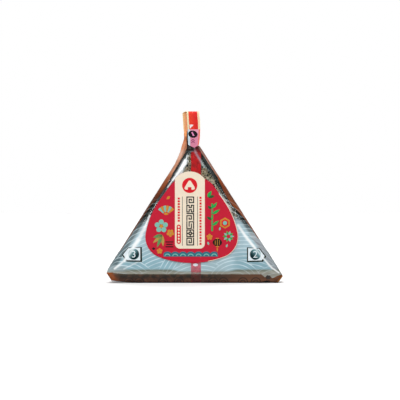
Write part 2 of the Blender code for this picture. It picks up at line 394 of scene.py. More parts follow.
def build_painted_streak():
    """How strongly a painted streak of highlight and shade shows: full on its line, nothing at its width."""
    titles = ("Across", "Height", "Start X", "Start Z", "Run X", "Run Z")
    inputs = [(title, "NodeSocketFloat", 0.0) for title in titles] + [("Width", "NodeSocketFloat", 1.0)]
    group, entry, leave = new_group("painted_streak", inputs, [("Mask", "NodeSocketFloat")])
    get = entry.outputs
    run_x, run_z, width = get["Run X"], get["Run Z"], get["Width"]
    dx = minus(group, get["Across"], get["Start X"])
    dz = minus(group, get["Height"], get["Start Z"])
    size = dot(group, run_x, run_z, run_x, run_z)
    share = calc(group, "DIVIDE", dot(group, dx, dz, run_x, run_z), size)
    share = between(group, share, 0.0, 1.0, soft=False)
    gap_x = minus(group, dx, times(group, share, run_x))
    gap_z = minus(group, dz, times(group, share, run_z))
    gap = calc(group, "SQRT", dot(group, gap_x, gap_z, gap_x, gap_z))
    feed(group, leave, {0: between(group, gap, width, times(group, width, STREAK_CORE))})
    return group


PACK_PLACE = build_pack_place()
PAINTED_STREAK = build_painted_streak()
WAVE_FAN = build_wave_fan()
CRINKLE = build_crinkle()
MOTTLE = build_mottle()


def on_pack(tree, place):
    """Where the surface lies on the pack, by name."""
    return use_group(tree, PACK_PLACE, {"Vector": place})


def mottled(tree, place, colour, scale, amount):
    inputs = {"Vector": place, "Colour": colour, "Scale": scale, "Amount": amount}
    return use_group(tree, MOTTLE, inputs)[0]


def crinkled(tree, place, scale, distance, strength):
    height = use_group(tree, CRINKLE, {"Vector": place, "Scale": scale})[0]
    return bump(tree, height, distance, strength)


# ---------------------------------------------------------------- the wrapped shape


def arc(centre, radius, start, end, steps):
    """Points along part of a circle, between two angles in radians."""
    points = []
    for i in range(steps + 1):
        angle = start + (end - start) * i / steps
        points.append((centre[0] + radius * math.cos(angle), centre[1] + radius * math.sin(angle)))
    return points


SMALLEST_CORNER = 0.35


def rounded_corners(offset, corners):
    """The left foot's, right foot's and apex's rounding: centre, radius and distance in from the sides."""
    radii = [max(radius + offset, SMALLEST_CORNER) for radius in corners]
    insets = [radius - offset for radius in radii]
    left = (along_left(insets[0], insets[0]), insets[0])
    right = (along_right(insets[1], insets[1]), insets[1])
    apex_z = BASE_RIGHT_X - BASE_LEFT_X - insets[2] * (LEFT_SCALE + RIGHT_SCALE)
    apex_z /= LEFT_RUN + RIGHT_RUN
    apex = (along_left(apex_z, insets[2]), apex_z)
    return list(zip((left, right, apex), radii, insets))


def edge_distance(x, z, offset, rounds):
    """Distance in from the pack's outline, its rounded corners included."""
    reaches = (left_reach(x, z), right_reach(x, z), z)
    for ((cx, cz), radius, inset), (i, j) in zip(rounds, ((0, 2), (1, 2), (0, 1))):
        if reaches[i] < inset and reaches[j] < inset:
            return radius - math.hypot(x - cx, z - cz)
    return min(reaches) + offset


FOOT_CORNERS_BELOW = 20.0


def row_ends(z, offset, rounds):
    """X of the left and the right edge at a height, on the slopes or round the corners."""
    ends = []
    sides = ((-1.0, 0, along_left, LEFT_RUN / LEFT_SCALE), (1.0, 1, along_right, RIGHT_RUN / RIGHT_SCALE))
    for turn, foot, line, lean in sides:
        x = line(z, -offset)
        for (cx, cz), radius, _ in (rounds[foot], rounds[2]):
            at_foot = cz < FOOT_CORNERS_BELOW
            beyond = z - cz < lean * radius if at_foot else z - cz > lean * radius
            if beyond:
                x = cx + turn * math.sqrt(max(0.0, radius ** 2 - (z - cz) ** 2))
        ends.append(x)
    return ends


def crown(x, z):
    """How far the front and the back swell out."""
    distance = math.hypot(x - CROWN_X, z - CROWN_Z)
    return CROWN * (1.0 - (distance / CROWN_REACH) ** 2)


def rim_drop(distance, bevel):
    """How far the rounded rim falls back from the face at a distance in from the outline."""
    if distance >= bevel:
        return 0.0
    return bevel - math.sqrt(max(0.0, bevel ** 2 - (bevel - max(distance, 0.0)) ** 2))


def rim_steps(bevel, segments):
    """Distances in from the outline at even steps round the rim."""
    return [bevel * (1.0 - math.cos(0.5 * math.pi * i / segments)) for i in range(segments + 1)]


def spaced(low, high, step):
    """Values from low up to, but without, high, at about even steps."""
    count = max(1, round((high - low) / step))
    return [low + (high - low) * i / count for i in range(count)]


# The strip beside each slope where the mesh's lines run along it, the height that has finer rows,
# the rows' distances below the top, and the lines' spacing on the side faces.
ZONE, FINE_BELOW, SIDE_STEP = 8.0, 9.0, 1.3
TOP_STEPS = (1.2, 0.8, 0.45, 0.2, 0.06, 0.01)


def wrapped_shape(offset, corners, bevel, segments, step, middle):
    """The pack's shape moved in or out by an offset, as level rows that run beside both slopes."""
    half = RIM_HALF_DEPTH + offset
    rounds = rounded_corners(offset, corners)
    foot, top = -offset, rounds[2][0][1] + rounds[2][1]
    heights = [foot + rise for rise in rim_steps(bevel, segments)[:-1]]
    heights += spaced(foot + bevel, FINE_BELOW, 0.5 * step)
    heights += spaced(FINE_BELOW, top - TOP_STEPS[0], step)
    heights += [top - below for below in TOP_STEPS]
    zone = rim_steps(bevel, segments)[:-1] + spaced(bevel, ZONE, 0.6 * step)
    sides = spaced(bevel - half, half - bevel, SIDE_STEP)[1:]
    rows = []
    for z in heights:
        left, right = row_ends(z, offset, rounds)
        shrink = min(1.0, 0.9 * (right - left) / (ZONE * (LEFT_SCALE + RIGHT_SCALE)))
        start = left + ZONE * shrink * LEFT_SCALE
        end = right - ZONE * shrink * RIGHT_SCALE
        front = [left + reach * shrink * LEFT_SCALE for reach in zone]
        front += [start + (end - start) * i / middle for i in range(middle + 1)]
        front += [right - reach * shrink * RIGHT_SCALE for reach in reversed(zone)]
        face = [(x, rim_drop(edge_distance(x, z, offset, rounds), bevel) - half, z) for x in front]
        row = face + [(right, y, z) for y in sides]
        row += [(x, -y, z) for x, y, _ in reversed(face)] + [(left, y, z) for y in reversed(sides)]
        rows.append([(x, y * (1.0 + crown(x, z) / half), z) for x, y, z in row])
    bm = sheet_from_rows(rows, True)
    bm.normal_update()
    return bm


# The sticker's outline: a little fuller at the shoulders than the solid's, as in the photo.
# Its side is bends and a straight run, each bend a radius, a turn in degrees and its steps.
LABEL_X, LABEL_BOTTOM_Z = -1.55, 10.9
LABEL_BENDS = ((50.6, 20.1, 8), (11.7, 81.1, 16), (45.8, 25.0, 10))
LABEL_SIDE_STRAIGHT = 9.0
LABEL_SHOULDER = (10.0, 22.0, 5)
SHOULDERS_ABOVE, DOME_ABOVE = 40.0, 54.0
BAND_X, BAND_HALF_WIDTH = -2.6, 8.05
BAND_TOP_Z, BAND_DOME_R = 60.2, 10.0
BAND_FOOT_Z, BAND_FOOT_R = 18.6, 2.7


def label_side():
    """The sticker's right side from its bottom middle up, as steps out from its middle line."""
    x, z, heading = 0.0, LABEL_BOTTOM_Z, 0.0
    points = []
    for radius, turn, steps in (*LABEL_BENDS, (0.0, 0.0, 5), LABEL_SHOULDER):
        for _ in range(steps):
            step = math.radians(turn) / steps
            chord = 2.0 * radius * math.sin(0.5 * step) if turn else LABEL_SIDE_STRAIGHT / steps
            x += chord * math.cos(heading + 0.5 * step)
            z += chord * math.sin(heading + 0.5 * step)
            heading += step
            points.append((x, z))
    return points


LABEL_SIDE = label_side()


def dome_points(steps=16):
    """The band's round top, from its right end to its left."""
    centre = (BAND_X, BAND_TOP_Z - BAND_DOME_R)
    swing = math.asin(BAND_HALF_WIDTH / BAND_DOME_R)
    return arc(centre, BAND_DOME_R, 0.5 * math.pi - swing, 0.5 * math.pi + swing, steps)


def label_outline():
    """The pick shape up to the band's edges, and the band's dome on top."""
    band_left, band_right = BAND_X - BAND_HALF_WIDTH, BAND_X + BAND_HALF_WIDTH
    right = [(LABEL_X + x, z) for x, z in LABEL_SIDE]
    right = [(x, z) for x, z in right if x > band_right or z < SHOULDERS_ABOVE]
    left = [(LABEL_X - x, z) for x, z in reversed(LABEL_SIDE)]
    left = [(x, z) for x, z in left if x < band_left or z < SHOULDERS_ABOVE]
    return right + dome_points() + left + [(LABEL_X, LABEL_BOTTOM_Z)]


def off_label(x, z):
    """About how far a point is outside the sticker, negative on it."""
    if z > DOME_ABOVE:
        off_dome = math.hypot(x - BAND_X, z - (BAND_TOP_Z - BAND_DOME_R)) - BAND_DOME_R
        return max(abs(x - BAND_X) - BAND_HALF_WIDTH, off_dome)
    gap = LABEL_BOTTOM_Z - z
    for (x0, z0), (x1, z1) in zip(LABEL_SIDE, LABEL_SIDE[1:]):
        if z0 <= z <= z1:
            share = (z - z0) / max(z1 - z0, 0.001)
            gap = abs(x - LABEL_X) - (x0 + (x1 - x0) * share)
    return gap


# ---------------------------------------------------------------- the film's creases


CREASE_DEPTH = 14.0
# Raised lines in the film on the front and the back: X and Z from and to, width and height.
FACE_CREASES = (
    (-41.0, 5.6, 43.0, 5.6, 0.9, 0.08), (-40.5, 6.4, -32.5, 11.6, 0.7, 0.07),
    (-43.5, 6.9, -38.8, 9.6, 0.6, 0.05), (37.0, 5.6, 38.6, 3.0, 0.6, 0.22),
    (44.5, 4.6, 36.5, 6.4, 0.7, 0.18), (42.5, 5.5, 30.0, 10.5, 0.9, 0.04),
    (-3.9, 71.5, -3.9, 61.0, 0.5, 0.12), (23.0, 36.0, 26.5, 30.0, 0.8, 0.14),
    (-45.0, 5.2, -38.0, 4.4, 0.8, 0.08),
)
# The ones on both side faces: height and depth from and to, width and height.
SIDE_CREASES = (
    (9.0, -4.0, 22.0, 1.0, 1.3, 0.12), (26.0, 3.0, 40.0, -2.0, 1.3, 0.12),
    (46.0, -3.0, 62.0, 2.0, 1.3, 0.12), (6.5, -8.5, 19.0, -1.0, 0.8, 0.28), (6.5, 8.5, 19.0, 1.0, 0.8, 0.28),
)


def film_creases():
    """Raised lines in the film: start, end, width and height."""
    lines = []
    for x0, z0, x1, z1, width, height in FACE_CREASES:
        for y in (-CREASE_DEPTH, CREASE_DEPTH):
            lines.append((Vector((x0, y, z0)), Vector((x1, y, z1)), width, height))
    for z0, y0, z1, y1, width, height in SIDE_CREASES:
        for along in (along_left, along_right):
            start = Vector((along(z0, 0.0), y0, z0))
            lines.append((start, Vector((along(z1, 0.0), y1, z1)), width, height))
    return lines


# Where the film falls away to the slopes in a soft facet: X, Z and the facet's width.
HIGH_LEFT_FACETS = (
    (-4.3, 69.3, 0.8), (-4.9, 66.8, 1.6), (-6.4, 63.4, 3.4), (-8.9, 60.2, 4.0), (-11.3, 57.2, 2.6),
    (-13.3, 53.6, 1.4),
)
LOW_LEFT_FACETS = (
    (-24.6, 35.2, 0.6), (-26.9, 30.0, 1.1), (-28.6, 25.8, 2.0), (-30.4, 23.0, 2.4), (-32.3, 20.2, 2.4),
    (-34.8, 16.6, 1.8), (-37.2, 13.2, 1.5), (-39.6, 9.9, 1.4), (-43.6, 6.9, 1.1),
)
RIGHT_FACETS = (
    (24.4, 29.8, 0.7), (25.8, 27.1, 1.5), (28.3, 23.9, 1.6), (30.7, 21.0, 1.6), (32.7, 18.6, 1.6),
    (35.2, 15.5, 1.4), (37.8, 12.6, 1.2), (39.3, 10.4, 1.1), (41.2, 8.5, 1.1), (43.2, 6.9, 1.0),
    (45.8, 5.4, 0.8),
)
FACET_RUNS = ((HIGH_LEFT_FACETS, LEFT_OUT), (LOW_LEFT_FACETS, LEFT_OUT), (RIGHT_FACETS, RIGHT_OUT))
FACET_TILT, FACET_REACH, FACET_END, FACET_BACK = 0.088, 6.0, 1.6, 3.4


def facet_drop(x, z, run, outwards):
    """How far the film falls outwards across one run of facets."""
    best = (math.inf, 0.0, 0.0, 0.0)
    length = 0.0
    for (x0, z0, w0), (x1, z1, w1) in zip(run, run[1:]):
        dx, dz = x1 - x0, z1 - z0
        size = math.hypot(dx, dz)
        share = min(1.0, max(0.0, ((x - x0) * dx + (z - z0) * dz) / size ** 2))
        gap_x, gap_z = x - x0 - dx * share, z - z0 - dz * share
        gap = math.hypot(gap_x, gap_z)
        if gap < best[0]:
            side = gap_x * outwards[0] + gap_z * outwards[1]
            best = (gap, math.copysign(gap, side), w0 + (w1 - w0) * share, length + size * share)
        length += size
    gap, across, width, along = best
    if gap > FACET_REACH:
        return 0.0
    ends = smooth(along, 0.0, FACET_END) * (1.0 - smooth(along, length - FACET_END, length))
    back = 1.0 - smooth(across, 0.5 * width + 0.3, 0.5 * width + FACET_BACK)
    even = min(1.0, max(0.0, across / width + 0.5))
    fall = 0.6 * even + 0.4 * smooth(even, 0.0, 1.0)
    return -FACET_TILT * width * fall * back * ends


def crease_height(point, lines):
    """How far the creases lift the film at a point."""
    total = 0.0
    for start, end, width, height in lines:
        run = end - start
        share = min(1.0, max(0.0, (point - start).dot(run) / run.length_squared))
        gap = (point - start - run * share).length
        if gap < 3.0 * width:
            fade = smooth(share, -0.02, 0.2) * (1.0 - smooth(share, 0.75, 1.02))
            total += height * fade * math.exp(-((gap / width) ** 2))
    return total


# How the base rises to the left corner and right of the middle, and humps inside the right corner.
LEFT_RISE, RIGHT_RISE, HUMP = 1.2, 0.6, 0.75
HUMP_X, HUMP_WIDTH = 39.0, 1.7


def tip_corners(vert):
    """Press the round corners into the pointed, slightly raised ears of the folded film."""
    for tip, foot, turn in ((LEFT_TIP, LEFT_TIP_FOOT, -1.0), (RIGHT_TIP, RIGHT_TIP_FOOT, 1.0)):
        dx, dz = foot[0] - tip[0], foot[1] - tip[1]
        size = math.hypot(dx, dz)
        out_x, out_z = -turn * dz / size, turn * dx / size
        beyond = (vert.co.x - tip[0]) * out_x + (vert.co.z - tip[1]) * out_z
        if beyond > 0.0 and vert.co.x * turn > 0.0:
            vert.co.x -= beyond * out_x
            vert.co.z -= beyond * out_z
    x = vert.co.x
    lift = LEFT_RISE * smooth(-x, 32.0, 45.5)
    lift += RIGHT_RISE * smooth(x, 24.0, 35.0) * (1.0 - smooth(x, 40.0, 43.5))
    lift += HUMP * math.exp(-(((x - HUMP_X) / HUMP_WIDTH) ** 2))
    vert.co.z = max(vert.co.z, lift)


# Soft swells over the whole film: how close together, and how high.
BROAD_SWELL, FINE_SWELL = (0.09, 0.08), (0.3, 0.012)
DEEPEST_FALL = 0.36
# Farther from the middle plane than this is the front or the back.
FACES_BEYOND = 9.0
TAPE_HOLD, TAPE_FREE, FREE_ABOVE = 2.9, 4.4, 62.0


def crease_film(bm):
    """Give the film its facets, creases and soft swells, and keep it flat under the sticker and tape."""
    lines = film_creases()
    bm.normal_update()
    moves = []
    for vert in bm.verts:
        x, y, z = vert.co
        lift = crease_height(vert.co, lines)
        lift += sum(noise.noise(vert.co * scale) * height for scale, height in (BROAD_SWELL, FINE_SWELL))
        if y < -FACES_BEYOND:
            lift *= smooth(off_label(x, z), 0.3, 4.5)
        if abs(y) > FACES_BEYOND:
            for run, outwards in FACET_RUNS:
                lift += facet_drop(x, z, run, outwards)
        lift *= smooth(z, 0.4, 2.5)
        if z <= FREE_ABOVE or lift < 0.0:
            lift *= smooth(abs(x - TAPE_X), TAPE_HOLD, TAPE_FREE)
        moves.append(vert.normal * max(lift, -DEEPEST_FALL))
    for vert, move in zip(bm.verts, moves):
        vert.co += move
        tip_corners(vert)


# ---------------------------------------------------------------- the film's print


# The wave fans on the lower film, from the highest row to the lowest: X, Z and radius.
WAVE_FANS = (
    (-10.0, -19.0, 78.0), (27.0, -16.0, 52.0), (-40.0, -10.0, 24.0), (3.0, -14.0, 26.0), (45.0, -8.0, 18.0),
    (-22.0, -8.0, 15.0), (22.0, -3.0, 15.5), (-3.0, -9.0, 15.0),
)
# The double arches on the base strip: where each stands, and their middles' height, radius and lines.
CURLS_X = (-35.5, -30.0, -17.0, -8.5, 10.0, 15.5, 26.0, 33.0)
CURL_Z, CURL_RADIUS, CURL_PITCH, CURL_WIDTH = 0.3, 3.0, 1.3, 0.45

# The strip's top at places across, counted from 48 mm left of the middle.
STRIP_LEFT, STRIP_LENGTH, STRIP_HIGHEST = 48.0, 96.0, 8.0
STRIP_TOP = (
    (0.0, 5.7), (4.0, 5.7), (10.0, 4.9), (84.0, 4.8), (85.9, 3.1), (87.0, 4.3), (88.6, 4.1), (89.8, 2.6),
    (94.0, 4.4), (95.6, 4.6),
)
STRIP_TONES = (
    (0.0, (62, 36, 30)), (1.0, (84, 48, 34)), (2.2, (70, 43, 31)), (3.0, (40, 29, 22)), (3.9, (38, 31, 25)),
    (4.8, (72, 64, 52)),
)
RUST, CURL_DARK, NOTCH_GREY, CORNER_BROWN = (
    paint(130, 84, 56), paint(32, 27, 23), paint(50, 46, 42), paint(106, 60, 32),
)
# Out towards each pointed corner, and the brown and the orange printed there.
LEFT_EAR_WAY, RIGHT_EAR_WAY = (-0.826, -0.564), (0.752, -0.66)
LEFT_EAR_BROWN, RIGHT_EAR_ORANGE = paint(142, 72, 30), paint(196, 124, 44)

# How far the brown print reaches in from each slope at each height, and where it ends below.
PACK_TOP = 80.0
LEFT_BROWN = (
    (16, 0.45), (30, 0.75), (36, 0.95), (42, 1.2), (46, 2.5), (54, 2.5), (58, 2.0), (62, 1.6), (75, 1.4),
)
RIGHT_BROWN = (
    (22, 0.45), (30, 0.7), (35, 0.9), (38, 1.5), (42, 2.5), (47, 2.7), (52, 1.9), (57, 1.1), (75, 1.2),
)
LEFT_BROWN_FOOT, RIGHT_BROWN_FOOT = 17.5, 24.0
# Its colours at each height: on the rims beside the front, whose pale upper end is a painted highlight, and
# on the side faces and the back.
LEFT_BROWNS_AND_HIGHLIGHT = (
    (20, (108, 62, 34)), (45, (80, 42, 26)), (52, (122, 60, 30)), (57, (150, 88, 58)), (61, (186, 132, 104)),
)
RIGHT_BROWNS_AND_HIGHLIGHT = (
    (30, (150, 92, 70)), (41, (140, 74, 38)), (47, (116, 66, 46)), (52, (134, 64, 34)), (56, (152, 78, 44)),
    (59, (174, 124, 104)), (70, (174, 130, 116)),
)
SIDE_BROWNS = ((10, (112, 66, 44)), (40, (122, 70, 45)), (60, (132, 78, 50)), (76, (140, 84, 56)))

# Painted highlights of glare along the film's folds and facets: where each starts and ends in X and Z, its
# width and how strong it is.
GLARE_STREAKS = (
    ((-4.1, 68.8), (-4.9, 65.8), 0.7, 0.85), ((-5.0, 65.8), (-7.3, 61.6), 2.0, 1.0),
    ((-7.3, 61.6), (-9.6, 58.4), 1.7, 0.97), ((-9.6, 58.4), (-11.8, 55.6), 1.1, 0.95),
    ((-11.8, 55.6), (-14.6, 51.6), 0.6, 0.9), ((-6.6, 61.4), (-7.6, 58.6), 1.6, 0.7),
    ((-24.2, 36.4), (-26.9, 30.0), 0.9, 0.85), ((-26.9, 30.0), (-30.3, 23.6), 1.5, 0.68),
    ((-38.0, 12.0), (-43.2, 7.8), 0.9, 0.7), ((-29.5, 12.0), (-38.2, 7.6), 0.6, 0.5),
    ((13.2, 48.6), (19.4, 39.6), 0.8, 0.6), ((23.4, 31.2), (28.2, 24.2), 1.2, 0.85),
    ((38.0, 12.2), (41.6, 8.2), 0.8, 0.85), ((41.6, 8.2), (45.4, 5.6), 0.7, 0.85),
    ((4.9, 67.8), (9.1, 60.6), 1.0, 0.14), ((9.1, 60.6), (12.4, 55.0), 0.8, 0.1),
)
# The painted glare highlights that cross the numbered arrows.
ARROW_GLARE_STREAKS = (
    ((-30.3, 23.6), (-33.8, 18.0), 1.7, 0.95), ((-33.8, 18.0), (-38.0, 12.0), 1.3, 0.95),
    ((28.2, 24.2), (32.6, 18.8), 1.2, 0.9), ((32.6, 18.8), (38.0, 12.2), 0.8, 0.8),
)
# Painted shade in the crease beside the brown print on the left and a faint one on the right, in the same
# terms.
SHADED_CREASES = (
    ((-4.6, 70.3), (-6.6, 66.9), 0.8, 0.95), ((-6.6, 66.9), (-8.3, 63.5), 1.0, 0.95),
    ((-8.3, 63.5), (-10.5, 60.0), 0.9, 0.95), ((-10.5, 60.0), (-12.2, 56.8), 0.8, 0.9),
    ((-12.2, 56.8), (-14.5, 53.0), 1.0, 0.95), ((-14.5, 53.0), (-16.7, 48.8), 1.2, 0.95),
    ((-16.7, 48.8), (-19.7, 44.4), 1.4, 0.95), ((28.9, 25.6), (35.2, 20.4), 0.6, 0.3),
)
# The painted glare highlight on the fold that slants over the tape below the tab.
TAPE_GLARE = ((-0.2, 71.6), (5.2, 62.6), 1.1, 0.58)

BLUE_LOW, BLUE_HIGH, BLUE_MIDDLE = paint(143, 182, 195), paint(172, 201, 212), paint(186, 208, 214)
# The painted shade of the rims beside the slopes, low and high.
LEFT_RIM_SHADE_LOW, LEFT_RIM_SHADE_HIGH = paint(82, 94, 96), paint(68, 74, 74)
RIGHT_RIM_SHADE_LOW, RIGHT_RIM_SHADE_HIGH = paint(156, 158, 162), paint(96, 108, 110)
# The olive above the base strip, and the painted highlight at the lower left corner.
OLIVE_LOW, OLIVE_HIGH, CORNER_HIGHLIGHT = paint(150, 150, 139), paint(115, 121, 106), paint(152, 167, 172)
WAVE_PALE, WAVE_ON_BROWN = paint(222, 240, 246), paint(206, 200, 196)
# The white of the painted glare highlights, on the film and over the arrows.
GLARE_WHITE, GLARE_ON_ARROW = paint(248, 251, 251), paint(240, 246, 248)
# The painted glare highlight's colours on the slanting fold: greenish on the film, pink over the tape.
GLARE_GREEN, GLARE_PINK = paint(190, 200, 190), paint(212, 110, 134)
# The painted shade of the apex tuck and the creases, and the printed oval's white.
TUCK_SHADE, OVAL_WHITE = paint(36, 30, 26), paint(228, 226, 234)

BLUE_MIDDLE_X, BLUE_MIDDLE_HALF, BLUE_MIDDLE_CORE = 5.0, 20.0, 11.0
OLIVE_TOP_SIDES, OLIVE_TOP_MIDDLE = 7.3, 6.3
INK_END, INK_FULL, INK_COVER = 39.0, 30.0, 0.94
CLEAR_COVER = 0.012
OVAL_X, OVAL_Z, OVAL_HALF_WIDTH, OVAL_HALF_HEIGHT = 0.45, 9.85, 1.3, 0.8
FILM_IOR, FILM_GLOSS_ROUGHNESS = 1.47, 0.09


def wave_lines(tree, at):
    """Pale wave rings, one fan drawn over another."""
    lines = 0.0
    for x, z, radius in WAVE_FANS:
        inputs = {"Across": at["Flat X"], "Height": at["Flat Z"], "Lines": lines}
        lines = use_group(tree, WAVE_FAN, {**inputs, "Centre X": x, "Centre Z": z, "Radius": radius})[0]
    return lines


def curl_lines(tree, at):
    """The small dark double arches printed on the base strip."""
    lines = 0.0
    size = {"Centre Z": CURL_Z, "Radius": CURL_RADIUS, "Pitch": CURL_PITCH, "Width": CURL_WIDTH}
    for x in CURLS_X:
        inputs = {"Across": at["Across"], "Height": at["Height"], "Lines": lines, "Centre X": x}
        lines = use_group(tree, WAVE_FAN, {**inputs, **size})[0]
    return lines


def streaks_mask(tree, at, folds):
    """The painted streaks of highlight and shade, taken together."""
    total = 0.0
    for (x0, z0), (x1, z1), width, strength in folds:
        inputs = {"Across": at["Across"], "Height": at["Height"], "Start X": x0, "Start Z": z0}
        mask = use_group(tree, PAINTED_STREAK, {**inputs, "Run X": x1 - x0, "Run Z": z1 - z0, "Width": width})[0]
        total = most(tree, total, times(tree, mask, strength))
    return total


def brown_bands(tree, at, ragged):
    """The brown print along the slopes: its mask, its colour and the streaks in it."""
    height = at["Height"]
    off_middle = unsigned(tree, at["Depth"])
    rim = between(tree, off_middle, 9.2, 11.4)
    frayed = times(tree, ragged, times(tree, rim, 0.5))
    sagged = plus(tree, height, between(tree, off_middle, 0.0, 13.0, 7.0, 0.0))
    masks = []
    for side, stops, foot in (
        ("Left", LEFT_BROWN, LEFT_BROWN_FOOT),
        ("Right", RIGHT_BROWN, RIGHT_BROWN_FOOT),
    ):
        edge = levels(tree, height, PACK_TOP, stops)
        mask = less(tree, plus(tree, frayed, at[side]), edge)
        masks.append(times(tree, mask, more(tree, sagged, foot)))

    on_left = less(tree, at["Left"], at["Right"])
    # The rims' browns turn pale near the top as a painted highlight.
    left = tones(tree, height, PACK_TOP, LEFT_BROWNS_AND_HIGHLIGHT)
    right = tones(tree, height, PACK_TOP, RIGHT_BROWNS_AND_HIGHLIGHT)
    plain = tones(tree, height, PACK_TOP, SIDE_BROWNS)
    front_rim = times(tree, rim, less(tree, at["Depth"], 0.0))
    brown = mix_colour(tree, front_rim, plain, mix_colour(tree, on_left, right, left))
    along = times(tree, height, 0.11)
    spot = add(tree, "ShaderNodeCombineXYZ", {0: at["Out"], 1: along, 2: times(tree, on_left, 9.0)})
    streaks = clouds(tree, spot.outputs[0], 1.1, 4.0)
    darkest = scaled(tree, rim, -0.14, 0.9)
    palest = scaled(tree, rim, 0.12, 1.08)
    brown = shade(tree, brown, between(tree, streaks, 0.3, 0.7, darkest, palest))
    return most(tree, *masks), brown, streaks


def base_strip(tree, at, ragged):
    """The dark strip round the foot of the pack: its mask and its colour."""
    across, height = at["Across"], at["Height"]
    top = levels(tree, plus(tree, across, STRIP_LEFT), STRIP_LENGTH, STRIP_TOP, STRIP_HIGHEST)
    mask = less(tree, scaled(tree, ragged, 0.35, height), top)
    strip = tones(tree, height, STRIP_HIGHEST, STRIP_TONES)
    patches = between(tree, ragged, -0.1, 0.25, 0.0, 0.5)
    rust = most(tree, patches, between(tree, across, 4.0, 34.0, 0.0, 0.8))
    rusty = shade(tree, RUST, between(tree, height, 0.8, 3.2, 1.3, 0.6))
    strip = mix_colour(tree, rust, strip, rusty)
    strip = mix_colour(tree, times(tree, curl_lines(tree, at), 0.7), strip, CURL_DARK)
    notch = times(tree, between(tree, across, 38.2, 38.8), between(tree, across, 41.4, 40.2))
    notch = times(tree, notch, between(tree, height, 1.4, 2.6))
    strip = mix_colour(tree, notch, strip, NOTCH_GREY)
    strip = mix_colour(tree, between(tree, across, 41.0, 44.6), strip, CORNER_BROWN)
    to_left = dot(tree, across, height, *LEFT_EAR_WAY)
    strip = mix_colour(tree, between(tree, to_left, 32.2, 34.8), strip, LEFT_EAR_BROWN)
    to_right = dot(tree, across, height, *RIGHT_EAR_WAY)
    strip = mix_colour(tree, between(tree, to_right, 32.6, 33.4), strip, RIGHT_EAR_ORANGE)
    return mask, strip


def blue_print(tree, at, drift, middle, above):
    """The blue-grey ink: paler upwards and in the middle, olive at its foot, with painted shade over the rims
    and a painted highlight at the lower left corner.
    """
    across, height = at["Across"], at["Height"]
    blue = mix_colour(tree, between(tree, height, 10.0, 22.0), BLUE_LOW, BLUE_HIGH)
    blue = mix_colour(tree, times(tree, middle, 0.55), blue, BLUE_MIDDLE)
    blue = shade(tree, blue, between(tree, drift, 0.3, 0.7, 0.88, 1.1))
    # Painted shade over the rims: greyer and darker than the face, least low on the right.
    left_rim_shade = mix_colour(tree, between(tree, height, 21.0, 28.0), LEFT_RIM_SHADE_LOW, LEFT_RIM_SHADE_HIGH)
    right_rim_shade = mix_colour(tree, between(tree, height, 25.0, 28.5), RIGHT_RIM_SHADE_LOW, RIGHT_RIM_SHADE_HIGH)
    rim = mix_colour(tree, between(tree, across, -6.0, 6.0), left_rim_shade, right_rim_shade)
    rim = shade(tree, rim, between(tree, drift, 0.3, 0.7, 0.85, 1.2))
    blue = mix_colour(tree, between(tree, at["Near"], 4.0, 2.2, 0.0, 0.85), blue, rim)
    olive = mix_colour(tree, between(tree, height, 5.8, 6.7), OLIVE_LOW, OLIVE_HIGH)
    blue = mix_colour(tree, between(tree, above, 0.7, -0.6), blue, olive)
    # Painted highlight on the rim at the lower left corner.
    corner = times(tree, between(tree, across, -35.6, -39.6), between(tree, above, -1.6, -0.6))
    corner = times(tree, corner, between(tree, height, 11.0, 8.0, 0.0, 0.8))
    return mix_colour(tree, corner, blue, CORNER_HIGHLIGHT)


def wave_strength(tree, at, flat, above):
    """How strongly the wave lines show: not up where the film is clear, and less towards every edge."""
    return times(
        tree,
        wave_lines(tree, at),
        between(tree, at["Height"], 53.0, 45.0),
        between(tree, clouds(tree, flat, 0.12), 0.35, 0.62, 0.4, 1.0),
        between(tree, above, 0.0, 2.0, 0.25, 1.0),
        between(tree, at["Near"], 2.4, 4.0, 0.6, 1.0),
        between(tree, unsigned(tree, at["Depth"]), 3.0, 9.0),
    )


def ink_cover(tree, at, drift, lines, over_tape):
    """How far the blue-grey print hides what lies under the film: nearly all low down, nothing above."""
    height = at["Height"]
    uneven = scaled(tree, minus(tree, drift, 0.5), 9.0, height)
    uneven = plus(tree, uneven, between(tree, at["Near"], 0.5, 5.0, 3.5, 0.0))
    inked = between(tree, uneven, INK_END, INK_FULL, 0.0, INK_COVER)
    cover = most(tree, inked, times(tree, lines, 0.6))
    cover = times(tree, cover, scaled(tree, over_tape, -0.8, 1.0))
    seam = times(tree, over_tape, between(tree, height, 6.4, 5.6, 0.0, 0.5))
    return most(tree, cover, seam, CLEAR_COVER)


def lay_over(tree, printed, cover, mask, colour, colour_cover=None):
    """A colour laid over the film where a mask is, and how far all of it hides what lies under."""
    if colour_cover is None:
        colour_cover = mask
    return mix_colour(tree, mask, printed, colour), most(tree, cover, colour_cover)


